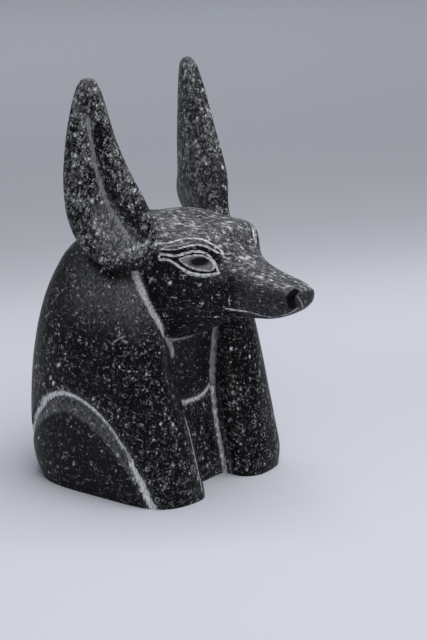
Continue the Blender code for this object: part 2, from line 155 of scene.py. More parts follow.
def loft(name: str, rings: Sequence[np.ndarray]) -> bpy.types.Object:
    """Makes a closed body through rings of equally many points.

    Args:
        name: the new object's name.
        rings: each ring's points in millimetres.

    Returns:
        The object, with its faces pointing out.
    """
    count = len(rings[0])
    points = np.concatenate(rings) * MM
    last = len(points) - count
    faces = [
        (low + i, low + (i + 1) % count, low + count + (i + 1) % count, low + count + i)
        for low in range(0, last, count)
        for i in range(count)
    ]
    faces += [tuple(range(count)), tuple(range(last, last + count))]
    mesh = bpy.data.meshes.new(name)
    mesh.from_pydata(points.tolist(), [], faces)
    shell = bmesh.new()
    shell.from_mesh(mesh)
    bmesh.ops.recalc_face_normals(shell, faces=shell.faces)
    shell.to_mesh(mesh)
    shell.free()
    return linked(name, mesh)


def settled(body: bpy.types.Object, name: str) -> bpy.types.Object:
    """Replaces a body by a plain mesh of what its modifiers leave.

    Args:
        body: the object with modifiers, which is removed.
        name: the new object's name.

    Returns:
        The new object, without modifiers.
    """
    graph = bpy.context.evaluated_depsgraph_get()
    mesh = bpy.data.meshes.new_from_object(body.evaluated_get(graph))
    bpy.data.objects.remove(body)
    mesh.name = name
    return linked(name, mesh)


def drop_specks(mesh: bmesh.types.BMesh) -> None:
    """Deletes every speck that doesn't hang together with the mesh's highest point.

    Args:
        mesh: the mesh that is changed.
    """
    front = {max(mesh.verts, key=lambda vert: vert.co.z)}
    whole = set()
    while front:
        whole |= front
        front = {edge.other_vert(vert) for vert in front for edge in vert.link_edges} - whole
    specks = [vert for vert in mesh.verts if vert not in whole]
    bmesh.ops.delete(mesh, geom=specks, context="VERTS")


def points_of(mesh: bpy.types.Mesh) -> np.ndarray:
    """Reads where the vertices are.

    Args:
        mesh: the mesh.

    Returns:
        A row of X, Y and Z in millimetres for each vertex.
    """
    flat = np.empty(len(mesh.vertices) * 3, np.float32)
    mesh.vertices.foreach_get("co", flat)
    return flat.reshape(-1, 3).astype(float) / MM


def normals_of(mesh: bpy.types.Mesh) -> np.ndarray:
    """Reads which way the surface faces.

    Args:
        mesh: the mesh.

    Returns:
        A direction of length 1 for each vertex.
    """
    flat = np.empty(len(mesh.vertices) * 3, np.float32)
    mesh.vertex_normals.foreach_get("vector", flat)
    return flat.reshape(-1, 3).astype(float)


def move_points(mesh: bpy.types.Mesh, points: np.ndarray) -> None:
    """Puts the mesh's vertices at the given places in millimetres."""
    mesh.vertices.foreach_set("co", (points * MM).astype(np.float32).ravel())
    mesh.update()


def keep_values(mesh: bpy.types.Mesh, name: str, values: np.ndarray) -> None:
    """Keeps one number for each vertex under a name that materials can read.

    Args:
        mesh: the mesh.
        name: the name, whose old numbers are dropped.
        values: the numbers.
    """
    old = mesh.attributes.get(name)
    if old:
        mesh.attributes.remove(old)
    kept = mesh.attributes.new(name, "FLOAT", "POINT")
    kept.data.foreach_set("value", np.asarray(values, np.float32))


def distance_to(line: np.ndarray, points: np.ndarray, reach: float) -> np.ndarray:
    """Measures how far points are from a line of closely set places.

    Args:
        line: the places along the line.
        points: the points to measure from.
        reach: past this distance a point counts as infinitely far.

    Returns:
        A distance for each point.
    """
    near = np.all((points > line.min(0) - reach) & (points < line.max(0) + reach), axis=1)
    distance = np.full(len(points), np.inf)
    gap = points[near][:, None, :] - line[None, :, :]
    distance[near] = np.sqrt((gap**2).sum(axis=2)).min(axis=1)
    return distance


def dense(controls: Places, step: float = LINE_STEP) -> np.ndarray:
    """Makes a smooth line through a few control points.

    Args:
        controls: the points the line passes through.
        step: the distance between the places on the line, in millimetres.

    Returns:
        The places along the line.
    """
    controls = np.array(controls, float)
    gaps = np.linalg.norm(np.diff(controls, axis=0), axis=1)
    place = np.concatenate([[0.0], np.cumsum(gaps)])
    table = np.column_stack([place, controls])
    at = np.linspace(0, place[-1], int(place[-1] / step) + 2)
    columns = range(1, table.shape[1])
    return np.column_stack([smooth_through(table, column)(at) for column in columns])


def laid(tree: BVHTree, line: np.ndarray) -> np.ndarray:
    """The line moved onto the nearest places of the surface."""
    return np.array([tree.find_nearest(point * MM)[0] for point in line]) / MM


def seen_from_side(tree: BVHTree, side: Side, line: Places) -> np.ndarray:
    """Lays a line of Y and Z on the surface as it is seen along X.

    Args:
        tree: the surface.
        side: the side it is seen from.
        line: places along Y and Z in millimetres.

    Returns:
        The places where the surface is met.
    """
    start, look = side.value * 0.2, (-side.value, 0, 0)
    hits = [tree.ray_cast((start, y * MM, z * MM), look)[0] for y, z in line]
    return np.array([hit for hit in hits if hit is not None]) / MM


def inside_outline(outline: np.ndarray, points: np.ndarray) -> np.ndarray:
    """Finds which points of a plane lie inside a closed outline.

    Args:
        outline: the outline's corners, two numbers each.
        points: the points, two numbers each.

    Returns:
        True for each point inside.
    """
    inside = np.zeros(len(points), bool)
    for (x0, y0), (x1, y1) in zip(outline, np.roll(outline, -1, axis=0)):
        crosses = (y0 > points[:, 1]) != (y1 > points[:, 1])
        at = x0 + (points[:, 1] - y0) / ((y1 - y0) or 1e-9) * (x1 - x0)
        inside ^= crosses & (points[:, 0] < at)
    return inside


@dataclass(frozen=True)
class Block:
    """Outer sizes of the block in millimetres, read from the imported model."""

    width: float
    back: float
    reach: float
    tip: float

    @classmethod
    def of_node(cls, node: str) -> "Block":
        """Reads the sizes from a node of the frame.

        Args:
            node: the node's name.

        Returns:
            The block's sizes.
        """
        low, high = (Vector(corner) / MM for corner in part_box(node))
        return cls(width=high.x - low.x, back=high.y, reach=-low.y, tip=high.z)


# Shares of the wig's top, then of half its width, of the lappets' reach and of its back,
# then the squareness of the ring's front and back.
WIG_STATIONS = (
    (-0.05, 0.965, 0.975, 0.820, 5.4, 3.6), (0.00, 0.965, 0.980, 0.860, 5.4, 3.6),
    (0.05, 0.985, 0.985, 0.935, 5.4, 3.4), (0.17, 1.000, 0.900, 0.995, 5.0, 3.2),
    (0.32, 0.995, 0.780, 1.000, 4.7, 3.2), (0.46, 0.975, 0.690, 0.990, 4.3, 3.1),
    (0.59, 0.940, 0.590, 0.955, 4.0, 3.0), (0.69, 0.895, 0.480, 0.910, 3.5, 2.9),
    (0.79, 0.835, 0.350, 0.835, 3.0, 2.7), (0.87, 0.760, 0.210, 0.735, 2.6, 2.6),
    (0.935, 0.620, 0.060, 0.590, 2.2, 2.4), (0.975, 0.430, -0.080, 0.440, 2.0, 2.2),
    (1.00, 0.180, -0.200, 0.290, 2.0, 2.0),
)


@dataclass(frozen=True)
class Wig:
    """The wig with its two front lappets, down to the base.

    Attributes:
        width: across its flanks.
        top: height of its dome.
        back: how far it reaches behind the origin.
        lappet_reach: how far its lappets reach in front of the origin.
        middle: where its rings have their middle along Y.
        rings: how many rings make it.
    """

    width: float
    top: float
    back: float
    lappet_reach: float = 35.6
    middle: float = 6.0
    rings: int = 64

    def body(self) -> bpy.types.Object:
        """Lofts level rings, square in front where the lappets hang and rounder behind.

        Returns:
            The wig's body.
        """
        half, front, back, front_square, back_square = (
            smooth_through(WIG_STATIONS, column) for column in range(1, 6)
        )
        angle = np.linspace(0, 2 * np.pi, RING_POINTS, endpoint=False)
        across, along = np.cos(angle), np.sin(angle)
        rings = []
        for share in np.linspace(WIG_STATIONS[0][0], 1, self.rings):
            square = np.where(along < 0, front_square(share), back_square(share))
            reach = np.where(
                along < 0, front(share) * self.lappet_reach + self.middle,
                back(share) * self.back - self.middle,
            )
            x = half(share) * self.width / 2 * signed_power(across, 2 / square)
            y = self.middle + reach * signed_power(along, 2 / square)
            rings.append(np.column_stack([x, y, np.full_like(x, share * self.top)]))
        return loft("wig", rings)


# Shares of the channel's top, half the width as a share of its width, and how far the
# chest and the lappet's inner edge stand back from the lappets' foremost reach, as shares
# of its depth.
CHANNEL_STATIONS = (
    (-0.06, 0.500, 0.98, 0.30), (0.00, 0.500, 1.00, 0.31), (0.08, 0.500, 1.08, 0.38),
    (0.15, 0.500, 1.16, 0.50), (0.25, 0.505, 1.29, 0.64), (0.37, 0.520, 1.42, 0.80),
    (0.50, 0.560, 1.54, 1.04), (0.63, 0.640, 1.62, 1.22), (0.83, 0.760, 1.66, 1.30),
    (1.00, 0.860, 1.66, 1.34),
)

# The lappet's edge as a lip that rolls into the channel: how far outside the channel's
# wall and how far in front of the edge, in shares of the lip's size.
LIP = ((3.2, 1.75), (2.2, 1.25), (1.3, 0.8), (0.55, 0.45), (0.1, 0.0), (-0.1, -0.5))
LIP_CREST = LIP[2]

# The chest from the channel's corner to its middle: share of the wall's distance, and how
# far in front of the channel's floor, in shares of the lip's size.
CHEST = ((1.0, 0.4), (0.9, 0.1), (0.5, 0.1), (0.0, 0.2))


@dataclass(frozen=True)
class Channel:
    """The space between the lappets, with neck and chest at its bottom.

    Attributes:
        top: height of its end inside the head.
        lappet_reach: how far the lappets reach in front of the origin.
        width: across it at the base.
        depth: from the lappets' front to the chest.
        lip: size of the lappets' rolled edge.
        front: how far the cutter stands in front of the lappets.
        rings: how many rings make the cutter.
    """

    top: float
    lappet_reach: float
    width: float = 28.0
    depth: float = 16.0
    lip: float = 5.0
    front: float = 25.0
    rings: int = 48

    def at(self, share: np.ndarray) -> tuple[np.ndarray, np.ndarray, np.ndarray]:
        """Reads the channel's section at a share of its height.

        Args:
            share: the height as a share of the channel's top.

        Returns:
            Half the width, the chest's place and the lappet edge's place along Y.
        """
        half, back, edge = (smooth_through(CHANNEL_STATIONS, column) for column in (1, 2, 3))
        floor = -self.lappet_reach + back(share) * self.depth
        lip = -self.lappet_reach + edge(share) * self.depth
        return half(share) * self.width, floor, lip

    def cutter(self) -> bpy.types.Object:
        """Lofts what is cut away, from below the base to inside the head.

        Returns:
            The cutter's body.
        """
        rings = []
        for share in np.linspace(CHANNEL_STATIONS[0][0], 1, self.rings):
            wall, floor, lip = self.at(share)
            outline = [(wall + LIP[0][0] * self.lip, -self.lappet_reach - self.front)]
            outline += [(wall + out * self.lip, lip - front * self.lip) for out, front in LIP]
            outline += [(out * wall, floor - front * self.lip) for out, front in CHEST]
            outline += [(-x, y) for x, y in reversed(outline[:-1])]
            rings.append(np.array([(x, y, share * self.top) for x, y in outline]))
        return loft("channel_cutter", rings)


# Place from back (0) to nose (1); half width at the widest level as a share of the head's
# width; top, bottom and widest level as shares of its top; and the squareness of the
# upper and lower half of the section.
HEAD_STATIONS = (
    (0.000, 0.200, 0.914, 0.641, 0.789, 2.2, 2.2), (0.146, 0.351, 0.970, 0.576, 0.798, 2.3, 2.6),
    (0.311, 0.484, 1.000, 0.543, 0.806, 2.6, 3.2), (0.408, 0.496, 0.993, 0.551, 0.814, 2.7, 3.0),
    (0.485, 0.491, 0.982, 0.580, 0.835, 2.7, 2.5), (0.553, 0.453, 0.980, 0.610, 0.855, 2.7, 2.1),
    (0.602, 0.358, 0.967, 0.632, 0.855, 2.7, 2.4), (0.641, 0.281, 0.932, 0.643, 0.835, 2.4, 2.6),
    (0.680, 0.240, 0.898, 0.652, 0.798, 2.3, 2.6), (0.728, 0.217, 0.873, 0.661, 0.773, 2.2, 2.4),
    (0.777, 0.203, 0.852, 0.666, 0.761, 2.3, 2.3), (0.835, 0.187, 0.839, 0.673, 0.757, 2.3, 2.4),
    (0.893, 0.168, 0.828, 0.688, 0.755, 2.4, 2.4), (0.942, 0.149, 0.818, 0.707, 0.760, 2.5, 2.4),
    (0.974, 0.130, 0.808, 0.724, 0.766, 2.5, 2.3), (0.992, 0.102, 0.802, 0.739, 0.770, 2.4, 2.2),
    (1.000, 0.061, 0.790, 0.751, 0.772, 2.1, 2.1),
)


@dataclass(frozen=True)
class Head:
    """The head from inside the wig to the nose.

    Attributes:
        top: height of its crown.
        snout: how far the nose reaches in front of the origin.
        width: across its cheeks.
        back: how far it reaches behind the origin.
        rings: how many rings make it.
    """

    top: float
    snout: float
    width: float = 57.0
    back: float = 28.0
    rings: int = 110

    @property
    def length(self) -> float:
        """From the head's back to the nose."""
        return self.back + self.snout

    def body(self) -> bpy.types.Object:
        """Lofts upright rings from the back to the nose.

        Returns:
            The head's body.
        """
        columns = [smooth_through(HEAD_STATIONS, column) for column in range(1, 7)]
        angle = np.linspace(0, 2 * np.pi, RING_POINTS, endpoint=False)
        across, up = np.cos(angle), np.sin(angle)
        rings = []
        for share in np.linspace(0, 1, self.rings):
            half, top, bottom, middle, top_square, bottom_square = (f(share) for f in columns)
            square = np.where(up > 0, top_square, bottom_square)
            reach = np.where(up > 0, top - middle, middle - bottom)
            x = half * self.width * signed_power(across, 2 / square)
            z = self.top * (middle + reach * signed_power(up, 2 / square))
            y = self.back - share * self.length
            rings.append(np.column_stack([x, np.full_like(x, y), z]))
        return loft("head", rings)

    def places(self, side: Side, shares: Places) -> np.ndarray:
        """Turns shares of half the width, the snout's reach and the top into places."""
        return np.array(shares) * (side.value * self.width / 2, -self.snout, self.top)


# Height from foot (0) to tip (1); the front rim's and the back rim's distance from the
# middle plane as a share of the ears' spread and place along Y as a share of the ear's
# width; the thickness and the depth of the hollow as shares of the ear's thickness; the
# place of the hollow across the ear and its half width, as shares of the width there; and
# how much sharper the back half of the inner face runs out than the rims do.
EAR_STATIONS = (
    (0.000, 0.860, -0.175, 1.118, 0.025, 0.55, 0.00, 0.34, 0.25, 0.35),
    (0.040, 0.810, -0.250, 1.176, 0.200, 0.80, 0.03, 0.34, 0.25, 0.35),
    (0.120, 0.755, -0.300, 1.206, 0.412, 0.98, 0.17, 0.34, 0.25, 0.35),
    (0.240, 0.720, -0.283, 1.206, 0.575, 1.00, 0.27, 0.38, 0.22, 0.53),
    (0.360, 0.812, -0.223, 1.191, 0.637, 0.94, 0.30, 0.43, 0.18, 1.35),
    (0.470, 0.885, -0.120, 1.176, 0.657, 0.88, 0.29, 0.47, 0.16, 1.70),
    (0.580, 0.930, -0.010, 1.162, 0.650, 0.80, 0.26, 0.47, 0.14, 1.70),
    (0.700, 0.955, 0.098, 1.147, 0.625, 0.74, 0.22, 0.46, 0.13, 1.70),
    (0.820, 0.960, 0.188, 1.126, 0.585, 0.66, 0.16, 0.46, 0.13, 1.40),
    (0.920, 0.950, 0.268, 1.103, 0.540, 0.56, 0.08, 0.46, 0.13, 1.20),
    (0.975, 0.945, 0.330, 1.082, 0.500, 0.42, 0.02, 0.46, 0.13, 1.00),
    (1.000, 0.940, 0.380, 1.059, 0.465, 0.22, 0.00, 0.46, 0.13, 1.00),
)


@dataclass(frozen=True)
class Ear:
    """One upright ear, hollowed along its outer face.

    Attributes:
        side: the side of the head it stands on.
        foot: height of its foot.
        tip: height of its tip.
        spread: the ears' distance from the middle plane.
        width: from rim to rim.
        thickness: through its middle.
        outer: share of the thickness outside the chord between the rims.
        rim: how blunt the rims are.
        rings: how many rings make it.
    """

    side: Side
    foot: float
    tip: float
    spread: float
    width: float = 40.0
    thickness: float = 15.0
    outer: float = 0.40
    rim: float = 0.42
    rings: int = 96

    def body(self) -> bpy.types.Object:
        """Lofts level rings, each a lens whose outer face is hollowed.

        Returns:
            The ear's body.
        """
        columns = [smooth_through(EAR_STATIONS, column) for column in range(1, 10)]
        across = 0.5 - 0.5 * np.cos(np.linspace(0, np.pi, RING_POINTS // 2 + 1))
        lens = np.clip(1 - (2 * across - 1) ** 2, 0, 1)
        rings = []
        for share in np.linspace(0, 1, self.rings):
            values = [f(share) for f in columns]
            front_x, front_y, back_x, back_y, thick, hollow, centre, spread, sharp = values
            front = np.array([front_x * self.spread, front_y * self.width])
            chord = np.array([back_x * self.spread, back_y * self.width]) - front
            out = np.array([chord[1], -chord[0]]) / np.linalg.norm(chord)
            outer = thick * self.outer - hollow * np.exp(-(((across - centre) / spread) ** 2))
            outer = outer * lens**self.rim
            blunt = np.where(across > 0.5, self.rim * sharp, self.rim)
            inner = -thick * (1 - self.outer) * lens**blunt
            line = self.thickness * np.concatenate([outer, inner[-2:0:-1]])
            place = np.concatenate([across, across[-2:0:-1]])
            point = front + np.outer(place, chord) + np.outer(line, out)
            z = np.full(len(point), self.foot + share * (self.tip - self.foot))
            rings.append(np.column_stack([self.side.value * point[:, 0], point[:, 1], z]))
        return loft(f"ear_{self.side.name.lower()}", rings)

    def places(self, shares: Places) -> list[tuple[float, float]]:
        """Turns shares of the width and of the height above the foot into Y and Z."""
        return [(y * self.width, self.foot + z * (self.tip - self.foot)) for y, z in shares]


def put(tree: Tree, kind: str, inputs: dict | None = None, **settings: object) -> bpy.types.Node:
    """Adds a node with its settings and links.

    Args:
        tree: the tree it goes in.
        kind: the node's type.
        inputs: values or output sockets for its inputs, by name or number.
        **settings: its other settings.

    Returns:
        The new node.
    """
    made = tree.nodes.new(kind)
    for name, value in settings.items():
        setattr(made, name, value)
    for key, value in (inputs or {}).items():
        if isinstance(value, bpy.types.NodeSocket):
            tree.links.new(value, made.inputs[key])
        else:
            made.inputs[key].default_value = value
    return made


def limits(span: Span, result: Span = (0.0, 1.0)) -> dict[str, float]:
    """The limits that a range node reads, and what it gives at each of them."""
    return dict(zip(("From Min", "From Max", "To Min", "To Max"), span + result))


def geometry_tree(name: str, inputs: dict[str, str]) -> tuple[Tree, dict[str, Socket]]:
    """Starts a Geometry Nodes tree for a modifier.

    Args:
        name: the tree's name.
        inputs: the type of each named input, after the geometry.

    Returns:
        The tree and its input sockets by name.
    """
    tree = bpy.data.node_groups.new(name, "GeometryNodeTree")
    tree.is_modifier = True
    kinds = {"Geometry": "NodeSocketGeometry", **inputs, "Stone": "NodeSocketMaterial"}
    for label, kind in kinds.items():
        tree.interface.new_socket(label, in_out="INPUT", socket_type=kind)
    tree.interface.new_socket("Geometry", in_out="OUTPUT", socket_type="NodeSocketGeometry")
    return tree, put(tree, "NodeGroupInput").outputs


def sunk(tree: Tree, geometry: Socket, share: Socket, depth: Socket) -> Socket:
    """Moves a surface inward.

    Args:
        tree: the tree.
        geometry: the surface.
        share: how much of the depth each point is moved.
        depth: the whole depth.

    Returns:
        The moved surface.
    """
    inward = put(tree, "ShaderNodeMath", {0: share, 1: depth}, operation="MULTIPLY")
    inward = put(tree, "ShaderNodeMath", {0: inward.outputs[0], 1: -1.0}, operation="MULTIPLY")
    normal = put(tree, "GeometryNodeInputNormal")
    offset = put(
        tree, "ShaderNodeVectorMath", {0: normal.outputs[0], "Scale": inward.outputs[0]},
        operation="SCALE",
    )
    return put(
        tree, "GeometryNodeSetPosition", {"Geometry": geometry, "Offset": offset.outputs[0]}
    ).outputs[0]


def end_tree(tree: Tree, geometry: Socket, stone: Socket) -> None:
    """Ends a tree: instances become mesh and the mesh gets its stone.

    Args:
        tree: the tree.
        geometry: what the tree has made.
        stone: the material it gets.
    """
    real = put(tree, "GeometryNodeRealizeInstances", {0: geometry})
    coated = put(tree, "GeometryNodeSetMaterial", {"Geometry": real.outputs[0], "Material": stone})
    put(tree, "NodeGroupOutput", {0: coated.outputs[0]})


def run_tree(body: bpy.types.Object, tree: Tree, values: dict[str, object]) -> None:
    """Adds the tree to a body as a modifier and sets its named inputs.

    Args:
        body: the body.
        tree: the tree.
        values: what each named input is set to.
    """
    modifier = body.modifiers.new(tree.name, "NODES")
    modifier.node_group = tree
    for item in tree.interface.items_tree:
        if item.in_out == "INPUT" and item.name in values:
            modifier[item.identifier] = values[item.name]


@dataclass(frozen=True)
class Cut:
    """A family of chiselled lines.

    Attributes:
        name: what they are.
        width: across the cut.
        depth: of its bottom.
        chalk: how pale its bottom is, from 0 to 1.
        spill: width of the chalk as a share of the cut's width.
        lines: the places along each line, on the surface.
    """

    name: str
    width: float
    depth: float
    chalk: float
    spill: float
    lines: Sequence[np.ndarray]

    def guide(self) -> bpy.types.Object:
        """Makes the lines an object of bare edges.

        Returns:
            The object that the chisel follows.
        """
        points, edges = [], []
        for line in self.lines:
            first = len(points)
            points += (line * MM).tolist()
            edges += [(first + i, first + i + 1) for i in range(len(line) - 1)]
        mesh = bpy.data.meshes.new(self.name)
        mesh.from_pydata(points, edges, [])
        return linked(self.name, mesh)


@dataclass(frozen=True)
class Chisel:
    """Cuts lines into a surface and marks them as chalky, with Geometry Nodes.

    Attributes:
        stroke: length of the chisel's uneven strokes.
        uneven: how much the width changes from stroke to stroke.
        seed: which unevenness it is.
        far: the chalk's distance that stands for far away, in half widths.
    """

    stroke: float = 2.4
    uneven: float = 0.5
    seed: float = 3.0
    far: float = 4.0

    def tree(self) -> Tree:
        """Makes the nodes that cut one family of lines.

        Returns:
            The tree, with the lines' sizes as its named inputs.
        """
        number = "NodeSocketFloat"
        tree, given = geometry_tree(
            "chisel_lines",
            {
                "Lines": "NodeSocketObject", "Width": number, "Depth": number, "Chalk": number,
                "Spill": number,
            },
        )
        lines = put(tree, "GeometryNodeObjectInfo", {"Object": given["Lines"]})
        near = put(
            tree, "GeometryNodeProximity", {0: lines.outputs["Geometry"]},
            target_element=Target.LINES.value,
        )
        place = put(tree, "GeometryNodeInputPosition")
        noise = put(
            tree, "ShaderNodeTexNoise",
            {"Vector": place.outputs[0], "W": self.seed, "Scale": 1 / (self.stroke * MM)},
            noise_dimensions="4D",
        )
        spread = put(
            tree, "ShaderNodeMapRange",
            {"Value": noise.outputs[0]}
            | limits((0.0, 1.0), (1 - self.uneven / 2, 1 + self.uneven / 2)),
        )
        half = put(tree, "ShaderNodeMath", {0: given["Width"], 1: 0.5}, operation="MULTIPLY")
        half = put(
            tree, "ShaderNodeMath", {0: half.outputs[0], 1: spread.outputs[0]}, operation="MULTIPLY"
        )
        share = put(
            tree, "ShaderNodeMath", {0: near.outputs["Distance"], 1: half.outputs[0]},
            operation="DIVIDE",
        )
        profile = put(
            tree, "ShaderNodeMapRange", {"Value": share.outputs[0], "To Min": 1.0, "To Max": 0.0},
            interpolation_type="SMOOTHSTEP",
        )
        reach = put(
            tree, "ShaderNodeMath", {0: share.outputs[0], 1: given["Spill"]}, operation="DIVIDE"
        )
        before = put(tree, "GeometryNodeInputNamedAttribute", {"Name": "cut"}, data_type="FLOAT")
        pale = put(tree, "GeometryNodeInputNamedAttribute", {"Name": "chalk"}, data_type="FLOAT")
        closer = put(
            tree, "FunctionNodeCompare", {0: reach.outputs[0], 1: before.outputs[0]},
            data_type="FLOAT", operation="LESS_THAN",
        )
        chalk = put(
            tree, "GeometryNodeSwitch",
            {"Switch": closer.outputs[0], "False": pale.outputs[0], "True": given["Chalk"]},
            input_type="FLOAT",
        )
        nearest = put(
            tree, "ShaderNodeMath", {0: reach.outputs[0], 1: before.outputs[0]},
            operation="MINIMUM",
        )
        marked = given["Geometry"]
        for name, value in (("chalk", chalk.outputs[0]), ("cut", nearest.outputs[0])):
            marked = put(
                tree, "GeometryNodeStoreNamedAttribute",
                {"Geometry": marked, "Name": name, "Value": value}, data_type="FLOAT",
                domain="POINT",
            ).outputs[0]
        end_tree(tree, sunk(tree, marked, profile.outputs[0], given["Depth"]), given["Stone"])
        return tree

    def carve(
        self, body: bpy.types.Object, cuts: Sequence[Cut], stone: bpy.types.Material
    ) -> bpy.types.Object:
        """Cuts families of lines into a body.

        Args:
            body: the body to carve, which is replaced.
            cuts: the families of lines.
            stone: the material the cut body gets.

        Returns:
            The carved body, without modifiers.
        """
        tree = self.tree()
        count = len(body.data.vertices)
        keep_values(body.data, "cut", np.full(count, self.far))
        keep_values(body.data, "chalk", np.zeros(count))
        guides = [cut.guide() for cut in cuts]
        for cut, guide in zip(cuts, guides):
            values = {
                "Lines": guide, "Width": cut.width * MM, "Depth": cut.depth * MM,
                "Chalk": cut.chalk, "Spill": cut.spill, "Stone": stone,
            }
            run_tree(body, tree, values)
        carved = settled(body, body.name)
        for guide in guides:
            bpy.data.objects.remove(guide)
        return carved


@dataclass(frozen=True)
class PeckHammer:
    """Scatters shallow oblong dents over a surface, with Geometry Nodes.

    Attributes:
        per_cm2: dents on a square centimetre where the surface is fully pecked.
        depth: of the deepest dent.
        smallest: half length of the shortest dent.
        largest: half length of the longest dent.
        slim: how much a dent is narrower than long, from 0 to 1.
        seed: which scatter it is.
        size_seed: which run of sizes it has.
    """

    per_cm2: float = 11.0
    depth: float = 0.16
    smallest: float = 0.7
    largest: float = 1.7
    slim: float = 0.72
    seed: int = 11
    size_seed: int = 5

    def tree(self) -> Tree:
        """Makes the nodes that scatter the dents and sink them.

        Returns:
            The tree, with density, depth and seed as its named inputs.
        """
        number = "NodeSocketFloat"
        tree, given = geometry_tree(
            "peck_marks", {"Density": number, "Depth": number, "Seed": "NodeSocketInt"}
        )
        worked = put(tree, "GeometryNodeInputNamedAttribute", {"Name": "pecking"}, data_type="FLOAT")
        density = put(
            tree, "ShaderNodeMath", {0: given["Density"], 1: worked.outputs[0]},
            operation="MULTIPLY",
        )
        blows = put(
            tree, "GeometryNodeDistributePointsOnFaces",
            {"Mesh": given["Geometry"], "Density": density.outputs[0], "Seed": given["Seed"]},
        )
        nearest = put(tree, "GeometryNodeSampleNearest", {0: blows.outputs["Points"]}, domain="POINT")
        place = put(tree, "GeometryNodeInputPosition")
        centre = put(tree, "GeometryNodeSampleIndex", {
            "Geometry": blows.outputs["Points"], "Value": place.outputs[0],
            "Index": nearest.outputs[0],
        }, data_type="FLOAT_VECTOR", domain="POINT")
        away = put(
            tree, "ShaderNodeVectorMath", {0: place.outputs[0], 1: centre.outputs[0]},
            operation="SUBTRACT",
        )
        turn = put(
            tree, "FunctionNodeRandomValue",
            {0: (-1, -1, -1), 1: (1, 1, 1), "ID": nearest.outputs[0], "Seed": given["Seed"]},
            data_type="FLOAT_VECTOR",
        )
        along = put(tree, "ShaderNodeVectorMath", {0: turn.outputs[0]}, operation="NORMALIZE")
        length = put(
            tree, "ShaderNodeVectorMath", {0: away.outputs[0], 1: along.outputs[0]},
            operation="DOT_PRODUCT",
        )
        square = put(
            tree, "ShaderNodeVectorMath", {0: away.outputs[0], 1: away.outputs[0]},
            operation="DOT_PRODUCT",
        )
        spare = put(
            tree, "ShaderNodeMath", {0: length.outputs["Value"], 1: length.outputs["Value"]},
            operation="MULTIPLY",
        )
        oblong = put(
            tree, "ShaderNodeMath",
            {0: spare.outputs[0], 1: -self.slim, 2: square.outputs["Value"]},
            operation="MULTIPLY_ADD",
        )
        distance = put(tree, "ShaderNodeMath", {0: oblong.outputs[0]}, operation="SQRT")
        size = put(tree, "FunctionNodeRandomValue", {
            2: self.smallest * MM, 3: self.largest * MM, "ID": nearest.outputs[0],
            "Seed": self.size_seed,
        }, data_type="FLOAT")
        half = put(
            tree, "ShaderNodeMath", {0: size.outputs[1], 1: math.sqrt(1 - self.slim)},
            operation="MULTIPLY",
        )
        share = put(
            tree, "ShaderNodeMath", {0: distance.outputs[0], 1: half.outputs[0]},
            operation="DIVIDE",
        )
        profile = put(
            tree, "ShaderNodeMapRange", {"Value": share.outputs[0], "To Min": 1.0, "To Max": 0.0},
            interpolation_type="SMOOTHSTEP",
        )
        marked = put(
            tree, "GeometryNodeStoreNamedAttribute",
            {"Geometry": given["Geometry"], "Name": "peck", "Value": profile.outputs[0]},
            data_type="FLOAT", domain="POINT",
        )
        dented = sunk(tree, marked.outputs[0], profile.outputs[0], given["Depth"])
        end_tree(tree, dented, given["Stone"])
        return tree

    def strike(self, body: bpy.types.Object, stone: bpy.types.Material) -> bpy.types.Object:
        """Dents a body that keeps its share of pecking under that name.

        Args:
            body: the body, which is replaced.
            stone: the material the dented body gets.

        Returns:
            The dented body, without modifiers.
        """
        values = {
            "Density": self.per_cm2 * CM2_IN_M2, "Depth": self.depth * MM, "Seed": self.seed,
            "Stone": stone,
        }
        run_tree(body, self.tree(), values)
        return settled(body, body.name)


def linear(hex_colour: str) -> tuple[float, float, float, float]:
    """Turns an sRGB hex colour into linear red, green, blue and alpha.

    Args:
        hex_colour: six hex digits after a hash.

    Returns:
        The linear colour.
    """
    parts = [int(hex_colour[i : i + 2], 16) / 255 for i in (1, 3, 5)]
    red, green, blue = (c / 12.92 if c <= 0.04045 else ((c + 0.055) / 1.055) ** 2.4 for c in parts)
    return red, green, blue, 1.0


@dataclass(frozen=True)
class Marks:
    """One set of pale marks in the stone's surface.

    Attributes:
        cell: mean distance between marks.
        stretch: how the set is squeezed along X, Y and Z; a small number makes its marks
            long that way.
        turn: how the set is turned, in degrees.
        thin: how much of the set shows where the stone is hardly pecked.
        full: how much of it shows where the stone is fully pecked.
        force: how pale its palest marks are, from 0 to 1.
        where: name of the value that says where the set lies, or none for everywhere.
        rarity: how much rarer bright marks are than faint ones.
    """

    cell: float
    stretch: tuple[float, float, float]
    turn: tuple[float, float, float]
    thin: float
    full: float
    force: float
    where: str = ""
    rarity: float = 2.2


